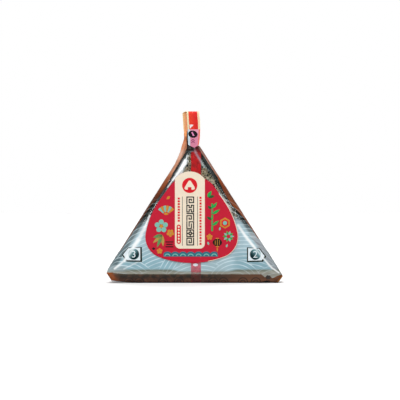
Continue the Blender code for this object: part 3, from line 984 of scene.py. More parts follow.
def make_film_material():
    """Clear film with printed zones: brown along the slopes and base, blue-grey with waves below, and painted
    highlights and shade at its folds and rims.
    """
    material, tree, shader, place = new_material("printed_film", roughness=0.6, specular=0.03)
    at = on_pack(tree, place)
    across, height, depth = at["Across"], at["Height"], at["Depth"]
    flat = add(tree, "ShaderNodeCombineXYZ", {0: at["Flat X"], 1: at["Flat Z"]}).outputs[0]
    ragged = minus(tree, clouds(tree, flat, 0.35), 0.5)
    drift = clouds(tree, flat, 0.06)
    in_front = less(tree, depth, 0.0)
    over_tape = calc(tree, "COMPARE", across, TAPE_X, 0.5 * TAPE_WIDTH)

    # The blue-grey print with its waves.
    off_blue_middle = unsigned(tree, minus(tree, across, BLUE_MIDDLE_X))
    middle = between(tree, off_blue_middle, BLUE_MIDDLE_HALF, BLUE_MIDDLE_CORE)
    above = minus(tree, height, between(tree, middle, 0.0, 1.0, OLIVE_TOP_SIDES, OLIVE_TOP_MIDDLE))
    lines = wave_strength(tree, at, flat, above)
    blue = blue_print(tree, at, drift, middle, above)
    printed = mix_colour(tree, times(tree, lines, 0.85), blue, WAVE_PALE)
    cover = ink_cover(tree, at, drift, lines, over_tape)

    # The brown print along the slopes, with a streaky painted grey highlight beside it along the ridge, and
    # the base strip.
    bands, brown, streaks = brown_bands(tree, at, ragged)
    # Painted highlight: a streaky grey band along the ridge beside the brown print, high up.
    ridge_sheen = times(tree, between(tree, streaks, 0.5, 0.75, 0.0, 0.4), between(tree, at["Near"], 4.6, 3.4))
    cover = most(tree, cover, times(tree, ridge_sheen, between(tree, height, 44.0, 50.0)))
    faint = times(tree, lines, between(tree, height, 47.0, 41.0, 0.0, 0.45))
    brown = mix_colour(tree, faint, brown, WAVE_ON_BROWN)
    printed, cover = lay_over(tree, printed, cover, bands, brown, times(tree, bands, 0.97))
    base, strip = base_strip(tree, at, ragged)
    strip_cover = times(tree, base, scaled(tree, over_tape, -0.32, 1.0))
    printed, cover = lay_over(tree, printed, cover, base, strip, strip_cover)

    # At the folds, painted light and shade: a pale painted highlight over the tape, painted shade beside the
    # brown print, and white painted highlights of glare.
    # Painted highlight: the glare on the fold over the tape.
    tape_glare = streaks_mask(tree, at, (TAPE_GLARE,))
    printed, cover = lay_over(tree, printed, cover, tape_glare, mix_colour(tree, over_tape, GLARE_GREEN, GLARE_PINK))
    # Painted shade: dark in the tuck at the apex and in the creases beside the brown print.
    apex_shade = times(tree, between(tree, height, 70.4, 71.6), between(tree, across, 0.4, -0.8))
    shaded = times(tree, most(tree, apex_shade, streaks_mask(tree, at, SHADED_CREASES)), in_front)
    printed, cover = lay_over(tree, printed, cover, shaded, TUCK_SHADE, times(tree, shaded, 0.95))
    # White streaks of painted glare highlight along the folds, fainter behind.
    fainter_behind = between(tree, depth, 6.0, -6.0, 0.45, 1.0)
    painted_glare = times(tree, streaks_mask(tree, at, GLARE_STREAKS + ARROW_GLARE_STREAKS), fainter_behind)
    printed, cover = lay_over(tree, printed, cover, painted_glare, GLARE_WHITE)

    # The small white oval printed over the tape below the sticker.
    dx = calc(tree, "DIVIDE", minus(tree, across, OVAL_X), OVAL_HALF_WIDTH)
    dz = calc(tree, "DIVIDE", minus(tree, height, OVAL_Z), OVAL_HALF_HEIGHT)
    oval_mark = times(tree, less(tree, dot(tree, dx, dz, dx, dz), 1.0), in_front)
    printed, cover = lay_over(tree, printed, cover, oval_mark, OVAL_WHITE)

    # The gloss lies over the print and the clear film alike, but hardly where shade is painted in the
    # creases.
    relief = crinkled(tree, place, 90.0, 0.0002, 0.22)
    feed(tree, shader, {"Base Color": printed, "Alpha": cover, "Normal": relief})
    gloss_inputs = {"Color": WHITE, "Roughness": FILM_GLOSS_ROUGHNESS, "Normal": relief}
    gloss = add(tree, "ShaderNodeBsdfGlossy", gloss_inputs)
    angle = add(tree, "ShaderNodeFresnel", {"IOR": FILM_IOR, "Normal": relief})
    shine = times(tree, angle.outputs[0], scaled(tree, shaded, -0.8, 1.0))
    both = add(tree, "ShaderNodeMixShader", {0: shine, 1: shader.outputs[0], 2: gloss.outputs[0]})
    feed(tree, tree.nodes["Material Output"], {"Surface": both.outputs[0]})
    return material


# ---------------------------------------------------------------- the other materials


# The gathered film's colours at each height on its face, paler than the plain brown of its sides as a painted
# highlight, and the painted shade of its inner fold.
GATHER_TONES_AND_HIGHLIGHT = (
    (60.0, (186, 126, 96)), (64.0, (194, 140, 110)), (70.0, (212, 168, 148)), (72.6, (204, 136, 102)),
    (75.4, (200, 130, 94)), (77.0, (176, 104, 66)), (78.6, (176, 100, 62)), (79.6, (236, 152, 96)),
)
GATHER_SIDE, GATHER_FOLD_SHADE = paint(146, 88, 58), paint(44, 28, 27)
GATHER_TOP = 82.0


def make_brown_film_material():
    """The gathered film at the apex: brown print that is paler and more orange at its top, with a painted
    highlight on its face and painted shade in its inner fold.
    """
    material, tree, shader, place = new_material("gathered_film", roughness=0.4, coat=0.08, specular=0.2)
    at = on_pack(tree, place)
    across, height, depth = at["Across"], at["Height"], at["Depth"]
    # The face's pale tones are partly a painted highlight along the front fold; the sides keep the plain
    # brown.
    colour = tones(tree, height, GATHER_TOP, GATHER_TONES_AND_HIGHLIGHT)
    colour = mix_colour(tree, between(tree, depth, -12.2, -9.5), colour, GATHER_SIDE)
    # Painted shade in the inner fold beside the tab.
    inner = times(tree, between(tree, height, 70.5, 72.5), between(tree, across, -4.5, -4.1))
    inner = times(tree, inner, between(tree, depth, -9.5, -12.2))
    colour = mix_colour(tree, inner, colour, GATHER_FOLD_SHADE)
    colour = mottled(tree, place, colour, 300.0, 0.35)
    relief = crinkled(tree, place, 260.0, 0.0003, 0.7)
    feed(tree, shader, {"Base Color": colour, "Normal": relief})
    return material


TAPE_TONES = (
    (4.0, (216, 56, 74)), (9.0, (252, 78, 112)), (14.0, (240, 58, 90)), (30.0, (222, 36, 42)),
    (69.5, (224, 34, 40)), (72.5, (120, 36, 42)),
)


def make_tape_material():
    """Red tear tape, mottled by what lies under it, darker at the apex and pinker low down."""
    material, tree, shader, place = new_material("tear_tape_red", roughness=0.6, specular=0.03)
    colour = tones(tree, on_pack(tree, place)["Height"], PACK_TOP, TAPE_TONES)
    colour = mottled(tree, place, colour, 420.0, 0.7)
    relief = bump(tree, clouds(tree, place, 420.0), 0.0002, 0.4)
    feed(tree, shader, {"Base Color": colour, "Normal": relief})
    return material


def make_rice_material():
    """Cooked rice: pale, slightly see-through grains with a moist shine."""
    material, tree, shader, place = new_material("cooked_rice", roughness=0.55, specular=0.12)
    tone = add(tree, "ShaderNodeAttribute", attribute_name="tone").outputs["Fac"]
    colour = mix_colour(tree, tone, paint(218, 202, 164), paint(252, 245, 220))
    colour = mottled(tree, place, colour, 700.0, 0.12)
    relief = bump(tree, clouds(tree, place, 1400.0), 0.0001, 0.5)
    feed(tree, shader, {"Base Color": colour, "Normal": relief})
    below = {"Subsurface Weight": 0.2, "Subsurface Radius": (1.0, 0.8, 0.6), "Subsurface Scale": MM}
    feed(tree, shader, below)
    return material


def make_core_material():
    """Pressed rice below the loose grains, with painted shade between them."""
    material, tree, shader, place = new_material("pressed_rice", roughness=0.6, specular=0.1)
    cell = add(tree, "ShaderNodeTexVoronoi", {"Vector": place, "Scale": 380.0}, feature="F1")
    off_middle = cell.outputs["Distance"]
    # Darker towards the cells' edges: painted shade in the gaps between grains.
    gap = between(tree, off_middle, 0.1, 0.7)
    colour = mix_colour(tree, gap, paint(184, 174, 142), paint(112, 103, 76))
    feed(tree, shader, {"Base Color": colour, "Normal": bump(tree, off_middle, -0.0008, 0.8)})
    return material


def make_nori_material():
    """Dried seaweed sheet: nearly black green, with a fibrous, slightly shiny surface."""
    material, tree, shader, place = new_material("nori_sheet", roughness=0.55, specular=0.15)
    weave = {"Vector": place, "Scale": 900.0, "Detail": 5.0, "Distortion": 0.8}
    fibres = add(tree, "ShaderNodeTexNoise", weave).outputs[0]
    colour = mix_colour(tree, between(tree, fibres, 0.4, 0.68), paint(25, 29, 25), paint(74, 78, 64))
    blotch = between(tree, clouds(tree, place, 140.0), 0.45, 0.75, 0.0, 0.6)
    colour = mix_colour(tree, blotch, colour, paint(20, 30, 34))
    feed(tree, shader, {"Base Color": colour, "Normal": bump(tree, fibres, 0.0003, 0.8)})
    return material


FLAKE_TONES = ((0.0, (20, 30, 24)), (0.4, (44, 60, 38)), (0.68, (112, 120, 66)), (0.95, (136, 84, 52)))


def make_flake_material():
    """Bits of seaweed and seasoning, from nearly black to olive and brown."""
    material, tree, shader, place = new_material("seaweed_flakes", roughness=0.6, specular=0.1)
    tone = add(tree, "ShaderNodeAttribute", attribute_name="tone").outputs["Fac"]
    colour = mottled(tree, place, tones(tree, tone, 1.0, FLAKE_TONES), 900.0, 0.4)
    feed(tree, shader, {"Base Color": colour})
    return material


def make_print_material(name, colour, roughness=0.6, crossed=False):
    """A flat printing ink with a faint unevenness, and on the arrows the painted glare highlights that cross
    them.
    """
    material, tree, shader, place = new_material(name, roughness=roughness, specular=0.06)
    tone = mottled(tree, place, colour, 500.0, 0.05)
    if crossed:
        tone = mix_colour(tree, streaks_mask(tree, on_pack(tree, place), ARROW_GLARE_STREAKS), tone, GLARE_ON_ARROW)
    relief = bump(tree, clouds(tree, place, 1600.0), 0.00004, 0.5)
    feed(tree, shader, {"Base Color": tone, "Normal": relief})
    return material


BALL_PALE, BALL_DARK = paint(108, 152, 158), paint(18, 48, 52)


def make_ball_material(name, centre):
    """The numbered disc of a step mark, printed like a ball: dark towards its foot and the middle, its pale
    outer top partly a painted highlight of the glare that crosses it.
    """
    material, tree, shader, place = new_material(name, roughness=0.5, specular=0.08)
    at = on_pack(tree, place)
    x = minus(tree, at["Across"], centre[0])
    z = minus(tree, at["Height"], centre[1])
    down = minus(tree, times(tree, x, 1.0 if centre[0] < 0.0 else -1.0), z)
    colour = mix_colour(tree, between(tree, down, -2.6, 2.4), BALL_PALE, BALL_DARK)
    colour = mottled(tree, place, colour, 500.0, 0.08)
    # Painted glare highlights laid over the disc.
    glare_streaks = times(tree, streaks_mask(tree, at, ARROW_GLARE_STREAKS), 0.7)
    feed(tree, shader, {"Base Color": mix_colour(tree, glare_streaks, colour, GLARE_ON_ARROW)})
    return material


# ---------------------------------------------------------------- flat shapes for the print


def place_shape(points, x, z, turn=0.0):
    """An outline drawn about the origin, turned by degrees and put at a place."""
    c, s = math.cos(math.radians(turn)), math.sin(math.radians(turn))
    return [(x + px * c - pz * s, z + px * s + pz * c) for px, pz in points]


def oval(x, z, half_width, half_height, turn=0.0, steps=28):
    points = []
    for i in range(steps):
        angle = 2.0 * math.pi * i / steps
        points.append((half_width * math.cos(angle), half_height * math.sin(angle)))
    return place_shape(points, x, z, turn)


def disc(x, z, radius, steps=28):
    return oval(x, z, radius, radius, 0.0, steps)


def regular(x, z, radius, sides, turn=0.0):
    """A shape of equal sides."""
    return oval(x, z, radius, radius, turn, sides)


def bar(x, z, width, height, turn=0.0):
    """A rectangle about its middle."""
    w, h = 0.5 * width, 0.5 * height
    return place_shape([(-w, -h), (w, -h), (w, h), (-w, h)], x, z, turn)


def leaf(x, z, length, width, turn, steps=8):
    """A pointed leaf from its stem at x, z."""
    shares = [i / steps for i in range(steps + 1)]
    upper = [(share * length, 0.5 * width * math.sin(math.pi * share ** 0.8)) for share in shares]
    lower = [(px, -pz) for px, pz in upper[1:-1]]
    return place_shape(lower + upper[::-1], x, z, turn)


def pill(x, z, width, height, steps=8):
    """An upright bar with round ends."""
    radius = 0.5 * width
    top = arc((x, z + 0.5 * height - radius), radius, 0.0, math.pi, steps)
    foot = arc((x, z - 0.5 * height + radius), radius, math.pi, 2.0 * math.pi, steps)
    return top + foot


def slice_of_ring(x, z, inner, outer, start, end, steps=14):
    """Part of a ring between two angles in degrees."""
    a, b = math.radians(start), math.radians(end)
    return arc((x, z), outer, a, b, steps) + list(reversed(arc((x, z), inner, a, b, steps)))


# Square meanders, from the top of the band to its foot.
FRET_ROWS = (
    ("#######", "#.....#", "#.###.#", "#.#.#.#", "#.#...#", "#.#####", "#......"),
    ("###.###", "#.#.#.#", "#.###.#", "#.....#", "#.###.#", "#.#.#.#", "###.###"),
    ("#######", "......#", "#####.#", "#...#.#", "#.#.#.#", "#.###.#", "#.....#"),
    ("#.#####", "#.#...#", "#.#.#.#", "#.#.#.#", "#.#.#.#", "#...#.#", "#####.#"),
    ("#######", "#..#..#", "#.###.#", "###.###", "#.###.#", "#..#..#", "#######"),
    ("#####.#", "#...#.#", "#.#.#.#", "#.#.#.#", "#.###.#", "#.....#", "#######"),
)


def fret(x, z, cell, rows):
    """A square fret about its middle, from unit squares that join into one outline."""
    half = 0.5 * len(rows) - 0.5
    shapes = []
    for i, row in enumerate(rows):
        for j, mark in enumerate(row):
            if mark == "#":
                shapes.append(bar(x + (j - half) * cell, z + (half - i) * cell, cell, cell))
    return shapes


def numeral(text, x, z, height):
    """A numeral's outlines as triangles in X and Z about its middle."""
    curve = bpy.data.curves.new("numeral", "FONT")
    curve.body = text
    curve.size = 10.0
    curve.align_x = "CENTER"
    curve.align_y = "CENTER"
    guide = bpy.data.objects.new("numeral", curve)
    bpy.context.scene.collection.objects.link(guide)
    bpy.context.view_layer.update()
    mesh = bpy.data.meshes.new_from_object(guide.evaluated_get(bpy.context.evaluated_depsgraph_get()))
    bpy.data.objects.remove(guide, do_unlink=True)
    bpy.data.curves.remove(curve)
    xs = [vert.co.x for vert in mesh.vertices]
    ys = [vert.co.y for vert in mesh.vertices]
    middle_x, middle_y = 0.5 * (min(xs) + max(xs)), 0.5 * (min(ys) + max(ys))
    scale = height / (max(ys) - min(ys))
    shapes = []
    for polygon in mesh.polygons:
        points = [mesh.vertices[index].co for index in polygon.vertices]
        flat = [((point.x - middle_x) * scale, (point.y - middle_y) * scale) for point in points]
        shapes.append(place_shape(flat, x, z))
    bpy.data.meshes.remove(mesh)
    return shapes


# Where the first cut across a sheet lies, in steps, and where the rays towards the surface start.
FIRST_CUT, RAY_START_Y = 0.37, -60.0


def lay_sheet(shapes, surface, back, front, step=0.0):
    """Cut shapes from thin sheet and lay them on a surface, between two heights above it.

    Each shape is an outline in X and Z with its material's index.
    """
    bm = bmesh.new()
    for outline, index in shapes:
        face = bm.faces.new([bm.verts.new((x, 0.0, z)) for x, z in outline])
        face.material_index = index
    bmesh.ops.remove_doubles(bm, verts=bm.verts, dist=0.0002)
    bmesh.ops.triangulate(bm, faces=bm.faces)
    if step:
        xs = [vert.co.x for vert in bm.verts]
        zs = [vert.co.z for vert in bm.verts]
        slice_by(bm, step, min(xs) + FIRST_CUT * step, max(xs), 0)
        slice_by(bm, step, min(zs) + FIRST_CUT * step, max(zs), 2)
    bm.normal_update()
    for face in bm.faces:
        if face.normal.y > 0.0:
            face.normal_flip()
    grown = bmesh.ops.extrude_face_region(bm, geom=list(bm.faces), use_keep_orig=True)
    front_verts = {item for item in grown["geom"] if isinstance(item, bmesh.types.BMVert)}
    for vert in bm.verts:
        hit = surface.ray_cast(Vector((vert.co.x, RAY_START_Y, vert.co.z)), Vector((0.0, 1.0, 0.0)))[0]
        depth = hit.y if hit else -RIM_HALF_DEPTH
        vert.co.y = depth - (front if vert in front_verts else back)
    bmesh.ops.recalc_face_normals(bm, faces=bm.faces)
    return bm


# ---------------------------------------------------------------- the pieces


RICE_OFFSET, NORI_OFFSET = -2.3, -0.95
NORI_THICKNESS = 0.16


def make_film(material):
    """The film over the whole pack, and its surface for the flat pieces that lie on it."""
    bm = wrapped_shape(0.0, PACK_CORNERS, RIM_BEVEL, segments=10, step=0.7, middle=100)
    crease_film(bm)
    surface = BVHTree.FromBMesh(bm)
    return finish_piece("film_wrap", bm, [material], 60.0), surface


def make_rice_core(material):
    """The pressed rice that the loose grains stand on."""
    bm = wrapped_shape(RICE_OFFSET, RICE_CORNERS, RICE_BEVEL, segments=5, step=5.0, middle=14)
    return finish_piece("rice_core", bm, [material], 60.0)


def joined_copies(name, template, places, copy_tones, material):
    """One mesh of many copies of a small shape, each with its own place and tone."""
    corners = [vert.co.copy() for vert in template.verts]
    template.verts.ensure_lookup_table()
    template.verts.index_update()
    faces = [[vert.index for vert in face.verts] for face in template.faces]
    all_corners, all_faces, all_tones = [], [], []
    for place, tone in zip(places, copy_tones):
        start = len(all_corners)
        all_corners.extend(place @ corner for corner in corners)
        all_faces.extend([start + index for index in face] for face in faces)
        all_tones.extend([tone] * len(corners))
    mesh = bpy.data.meshes.new(name)
    mesh.from_pydata(all_corners, [], all_faces)
    mesh.attributes.new("tone", "FLOAT", "POINT").data.foreach_set("value", all_tones)
    template.free()
    bm = bmesh.new()
    bm.from_mesh(mesh)
    bpy.data.meshes.remove(mesh)
    return finish_piece(name, bm, [material], 60.0)


GRAIN_AXES = (2.7, 1.3, 1.1)
GRAIN_CURVE, GRAIN_TAPER = 0.05, 0.10


def grain_template():
    """One cooked grain, long along X and slightly curved, blunter at one end."""
    bm = bmesh.new()
    bmesh.ops.create_uvsphere(bm, u_segments=7, v_segments=6, radius=1.0)
    bmesh.ops.rotate(bm, verts=bm.verts, matrix=Matrix.Rotation(0.5 * math.pi, 3, "Y"))
    bmesh.ops.scale(bm, vec=GRAIN_AXES, verts=bm.verts)
    for vert in bm.verts:
        x = vert.co.x
        vert.co.y += GRAIN_CURVE * x * x
        vert.co.z *= 1.0 - GRAIN_TAPER * smooth(x, 0.5, GRAIN_AXES[0])
    return bm


def crowded(cells, key, x, z, apart):
    """Whether a place is closer than a distance to one found before, in its own or the next cells."""
    for i in (-1, 0, 1):
        for j in (-1, 0, 1):
            for other_x, other_z in cells.get((key[0] + i, key[1] + j), ()):
                if math.hypot(other_x - x, other_z - z) < apart:
                    return True
    return False


SCATTER_X, SCATTER_Z, TRIES_EACH = (-46.0, 46.0), (2.0, 76.0), 60


def scatter(rng, count, apart):
    """Places in the rice window, spread evenly but not in rows, no two closer than a distance."""
    cells = {}
    found = []
    tries = 0
    while len(found) < count and tries < count * TRIES_EACH:
        tries += 1
        x, z = rng.uniform(*SCATTER_X), rng.uniform(*SCATTER_Z)
        if not rice_window(x, z):
            continue
        key = (int(x // apart), int(z // apart))
        if not crowded(cells, key, x, z, apart):
            cells.setdefault(key, []).append((x, z))
            found.append((x, z))
    return found


# How far in from the slopes the seaweed sheet reaches, and how much further low down on the left.
NORI_REACH, NORI_LOW_REACH = 3.4, 3.2
RICE_LOWEST, CONTENTS_BEVEL = 26.0, 5.2


def nori_edge(z, on_left):
    """How far in from a slope the seaweed sheet reaches on the front and back."""
    return NORI_REACH + (NORI_LOW_REACH * smooth(-z, -48.5, -44.0) if on_left else 0.0)


def face_depth(x, z, offset):
    """Distance of the front or back from the middle plane at an offset, with its rounded rims."""
    reach = min(left_reach(x, z), right_reach(x, z), z) + offset
    return RIM_HALF_DEPTH + offset + crown(x, z) - rim_drop(reach, CONTENTS_BEVEL)


# How far below the film the grains and the flakes stay, and each layer's depth and spacing.
GRAIN_CEILING, FLAKE_CEILING = -1.1, -0.8
GRAIN_LAYERS = ((1.1, 2.2), (0.5, 2.1), (0.0, 1.9))
# How far inside the sticker's edge grains and flakes still lie below it.
GRAINS_UNDER_LABEL, FLAKES_UNDER_LABEL = 4.0, 2.0
MOST_GRAINS, MOST_FLAKES = 1200, 2600


def rise(turned, axes):
    """How far a turned grain or flake reaches along Y from its middle."""
    return math.sqrt(sum((axes[i] * turned[1][i]) ** 2 for i in range(3)))


def tipped(rng, lean):
    """A random small lean after a random turn in the plane of the face."""
    turn = Matrix.Rotation(rng.uniform(0.0, 2.0 * math.pi), 4, "Y")
    tip = Matrix.Rotation(rng.gauss(0.0, lean), 4, "Z") @ Matrix.Rotation(rng.gauss(0.0, lean), 4, "X")
    return tip @ turn


def rice_window(x, z):
    """Whether the film is clear and the seaweed sheet leaves the rice open here."""
    left, right = left_reach(x, z), right_reach(x, z)
    return left > nori_edge(z, True) and right > nori_edge(z, False) and z > RICE_LOWEST


def make_grains(material):
    """Three layers of grains on the front and the back where the film is clear."""
    rng = random.Random(41)
    places, grain_tones = [], []
    for face in (-1, 1):
        for sink, apart in GRAIN_LAYERS:
            for x, z in scatter(rng, MOST_GRAINS, apart):
                if face < 0 and off_label(x, z) < -GRAINS_UNDER_LABEL:
                    continue
                size = rng.uniform(0.86, 1.08)
                stretch = Matrix.Diagonal((size * rng.uniform(0.92, 1.08), size, size, 1.0))
                turned = tipped(rng, 0.12) @ stretch
                ceiling = face_depth(x, z, GRAIN_CEILING) - rise(turned, GRAIN_AXES)
                y = face * (ceiling - sink - rng.uniform(0.0, 0.3))
                places.append(Matrix.Translation((x, y, z)) @ turned)
                grain_tones.append(min(1.0, max(0.0, rng.gauss(0.6, 0.25))))
    return joined_copies("rice_grains", grain_template(), places, grain_tones, material)


# Where seaweed bits lie thickly among the rice: X and Z from and to, and their share.
FLAKE_FIELDS = (
    ((3.5, 44.0, 24.0, 70.0), 0.85), ((-5.5, -1.8, 57.0, 74.0), 0.9), ((-24.0, -5.0, 40.0, 60.0), 0.3),
)
FLAKES_BEHIND, FLAKES_ELSEWHERE = 0.2, 0.12
FLAKE_RADIUS, FLAKE_TOP_RADIUS, FLAKE_THICKNESS = 0.8, 0.72, 0.12


def flake_share(x, z, face):
    """The share of the scattered places that get a bit of seaweed."""
    if face > 0:
        return FLAKES_BEHIND
    for (x0, x1, z0, z1), share in FLAKE_FIELDS:
        if x0 <= x <= x1 and z0 <= z <= z1:
            return share
    return FLAKES_ELSEWHERE


def make_flakes(material):
    """Bits of seaweed and seasoning pressed among the grains."""
    rng = random.Random(17)
    template = bmesh.new()
    bmesh.ops.create_cone(
        template, cap_ends=True, segments=7, radius1=FLAKE_RADIUS, radius2=FLAKE_TOP_RADIUS,
        depth=FLAKE_THICKNESS,
    )
    for vert in template.verts:
        vert.co.x *= 1.0 + 0.35 * noise.noise(vert.co * 2.1)
        vert.co.y *= 1.0 + 0.35 * noise.noise(vert.co * 1.7 + Vector((3.0, 0.0, 0.0)))
    upright = Matrix.Rotation(0.5 * math.pi, 4, "X")
    axes = (FLAKE_RADIUS, FLAKE_RADIUS, 0.5 * FLAKE_THICKNESS)

    places, flake_tones = [], []
    for face in (-1, 1):
        for x, z in scatter(rng, MOST_FLAKES, 1.05):
            hidden = face < 0 and off_label(x, z) < -FLAKES_UNDER_LABEL
            if hidden or rng.random() > flake_share(x, z, face):
                continue
            size = rng.uniform(0.25, 0.7)
            stretch = Matrix.Diagonal((size * rng.uniform(0.7, 1.6), size, 1.0, 1.0))
            turned = tipped(rng, 0.25) @ upright @ stretch
            ceiling = face_depth(x, z, FLAKE_CEILING) - rng.uniform(0.0, 0.35)
            y = face * (ceiling - rise(turned, axes))
            places.append(Matrix.Translation((x, y, z)) @ turned)
            flake_tones.append(rng.random() ** 1.4)
    return joined_copies("seaweed_flakes", template, places, flake_tones, material)


NORI_LOWEST, NORI_FRAY = 5.0, 0.35


def make_nori(material):
    """The seaweed sheet over both slopes, its torn edges a little way round on the front and back."""
    bm = wrapped_shape(NORI_OFFSET, PACK_CORNERS, NORI_BEVEL, segments=8, step=0.9, middle=8)
    doomed = []
    for face in bm.faces:
        x, y, z = face.calc_center_median()
        left, right = left_reach(x, z), right_reach(x, z)
        edge = nori_edge(z, left < right) + 0.5 * noise.noise(Vector((x, y, z)) * 0.35)
        if min(left, right) > edge or z < NORI_LOWEST:
            doomed.append(face)
    bmesh.ops.delete(bm, geom=doomed, context="FACES")
    bm.normal_update()
    for vert in bm.verts:
        if vert.is_boundary:
            vert.co.x += NORI_FRAY * noise.noise(vert.co * 0.9)
            vert.co.z += NORI_FRAY * noise.noise(vert.co * 0.9 + Vector((5.0, 0.0, 0.0)))
    bmesh.ops.solidify(bm, geom=list(bm.faces), thickness=NORI_THICKNESS)
    bmesh.ops.recalc_face_normals(bm, faces=bm.faces)
    return finish_piece("nori_sheet", bm, [material], 60.0)


# The gathered film at each height: its front, its back, its left side and its width.
GATHER_ROWS = (
    (57.5, -11.4, 9.0, -13.9, 3.9), (61.5, -12.0, 9.0, -12.0, 3.6), (64.5, -12.4, 8.4, -10.4, 3.3),
    (67.5, -12.8, 6.0, -9.05, 2.9), (71.0, -13.1, 2.6, -7.6, 3.1), (74.3, -13.1, -2.4, -6.75, 3.2),
    (77.4, -13.0, -6.4, -5.75, 2.4), (79.2, -12.9, -8.4, -5.55, 2.3), (81.6, -12.7, -10.6, -5.45, 2.2),
)
GATHER_STEPS = 9
PLEAT_DEPTH, PLEAT_WAVES, PLEAT_SHIFT, GATHER_SAG, GATHER_TAPER = 0.28, 5.0, 0.35, 0.5, 0.25


def make_gather(material):
    """The film drawn together at the apex: an upright pleated wedge on the left of the tab."""
    shares = [i / GATHER_STEPS for i in range(GATHER_STEPS + 1)]
    rows = []
    for k, (z, front, back, x, width) in enumerate(GATHER_ROWS):
        ring = []
        for share in shares:
            wave = math.sin(share * math.pi * PLEAT_WAVES + PLEAT_SHIFT * k)
            pleat = PLEAT_DEPTH * wave * math.sin(math.pi * share)
            sag = GATHER_SAG * math.sin(0.5 * math.pi * share) * (1.0 - k / len(GATHER_ROWS))
            ring.append((x + pleat + sag, front + (back - front) * share, z))
        for share in reversed(shares):
            ring.append((x + width * (1.0 - GATHER_TAPER * share), front + (back - front) * share, z))
        rows.append(ring)
    bm = sheet_from_rows(rows, True)
    bmesh.ops.subdivide_edges(bm, edges=list(bm.edges), cuts=1, use_grid_fill=True, smooth=0.6)
    bmesh.ops.recalc_face_normals(bm, faces=bm.faces)
    for vert in bm.verts:
        vert.co.x += 0.12 * noise.noise(vert.co * 0.5)
    return finish_piece("apex_gather", bm, [material], 35.0)


def band_outline():
    """The pale band: round at its top, with rounded corners at its foot."""
    left, right = BAND_X - BAND_HALF_WIDTH + BAND_FOOT_R, BAND_X + BAND_HALF_WIDTH - BAND_FOOT_R
    z = BAND_FOOT_Z + BAND_FOOT_R
    foot_left = arc((left, z), BAND_FOOT_R, math.pi, 1.5 * math.pi, 8)
    foot_right = arc((right, z), BAND_FOOT_R, 1.5 * math.pi, 2.0 * math.pi, 8)
    return dome_points() + foot_left + foot_right


# Heights above the film: the sticker's back and front, one layer of ink, and how far layers overlap.
LABEL_BACK, LABEL_FRONT = 0.02, 0.38
INK, OVERLAP = 0.03, 0.01
CUT_EDGE = 0.3
LABEL_STEP = 2.5


def make_label(surface, red):
    """The red sticker on the front."""
    bm = lay_sheet([(label_outline(), 0)], surface, LABEL_BACK, LABEL_FRONT, LABEL_STEP)
    return finish_piece("label_sheet", bm, [red])


def make_band(surface, cream):
    """The pale band printed down its middle."""
    bm = lay_sheet([(band_outline(), 0)], surface, LABEL_FRONT - OVERLAP, LABEL_FRONT + INK, LABEL_STEP)
    return finish_piece("label_band", bm, [cream])


# Indices into the label inks' list.
RED, BLACK, GREY, GOLD, AQUA, GREEN, LEAF, DEEP, OLIVE, BLUE, CREAM = range(11)


def blossom(x, z, radius, petal, heart, turn=90.0):
    """Five round petals and a round heart."""
    shapes = []
    reach = radius * 0.62
    for i in range(5):
        a = math.radians(turn + 72.0 * i)
        middle_x, middle_z = x + reach * math.cos(a), z + reach * math.sin(a)
        shapes.append((disc(middle_x, middle_z, radius * 0.37, 16), petal))
    shapes.append((disc(x, z, radius * 0.24, 14), heart))
    return shapes


def rosette(x, z, radius, petals, first, second):
    """Pointed petals all round, in two inks by turns."""
    shapes = []
    reach = radius * 0.28
    for i in range(petals):
        turn = 360.0 / petals * i
        a = math.radians(turn)
        foot_x, foot_z = x + reach * math.cos(a), z + reach * math.sin(a)
        shapes.append((leaf(foot_x, foot_z, radius * 0.72, radius * 0.34, turn), first if i % 2 else second))
    return shapes


def scallops(x0, x1, z, radius, half):
    """A row of round scallops on a flat foot, as one outline."""
    swing = math.acos(half / radius)
    points = []
    x = x0 + half
    while x < x1:
        points += arc((x, z), radius, math.pi - swing, swing, 10)[:-1]
        x += 2.0 * half
    return points + [(x - half, z), (x0, z)]


# The folding fan left of the band, the bamboo leaves and the bars below it.
FAN_X, FAN_Z, FAN_START, FAN_STEP = -15.4, 36.4, 36.0, 18.0
BAMBOO_LEAVES = ((196.0, 5.0, LEAF), (222.0, 6.6, OLIVE), (248.0, 7.4, LEAF), (276.0, 6.2, OLIVE))
LEFT_BARS = ((22.2, 4.2), (20.9, 3.4), (19.6, 4.2))


def left_marks():
    """Left of the band: a folding fan, plum blossoms, bamboo leaves and small bars."""
    marks = []
    for i in range(6):
        start = FAN_START + FAN_STEP * i
        rib = slice_of_ring(FAN_X, FAN_Z, 1.9, 5.4, start + 0.8, start + FAN_STEP - 0.8, 4)
        marks.append((rib, (GOLD, AQUA)[i % 2]))
    marks.append((slice_of_ring(FAN_X, FAN_Z, 0.5, 1.5, 34.0, 146.0, 8), GOLD))
    marks += blossom(-18.0, 30.7, 3.7, AQUA, GOLD)
    marks += blossom(-13.1, 27.0, 2.1, GOLD, OLIVE, 54.0)
    for turn, length, ink in BAMBOO_LEAVES:
        marks.append((leaf(-17.6, 26.0, length, 1.8, turn), ink))
    for z, width in LEFT_BARS:
        marks.append((bar(-13.6, z, width, 0.6), BLACK))
    marks.append((oval(-22.1, 18.6, 1.0, 0.75, 0.0, 4), BLACK))
    marks.append((oval(-14.2, 46.0, 1.3, 0.8, 40.0, 4), GOLD))
    marks += blossom(-18.9, 17.3, 1.6, GOLD, OLIVE)
    return marks


# Right of the band: the bamboo's leaves as height, turn and length, the tile and the lantern.
STEM_LEAVES = (
    (31.0, 38.0, 4.4), (34.2, 148.0, 3.0), (37.2, 32.0, 4.8), (40.0, 140.0, 2.6), (40.4, 52.0, 4.0),
)
SMALL_LEAVES = ((13.4, 28.4, 80.0), (7.6, 20.6, 110.0), (17.0, 19.3, 70.0))
TILE_X, TILE_Z = 16.3, 32.4
LANTERN_X, LANTERN_Z = 12.2, 21.9


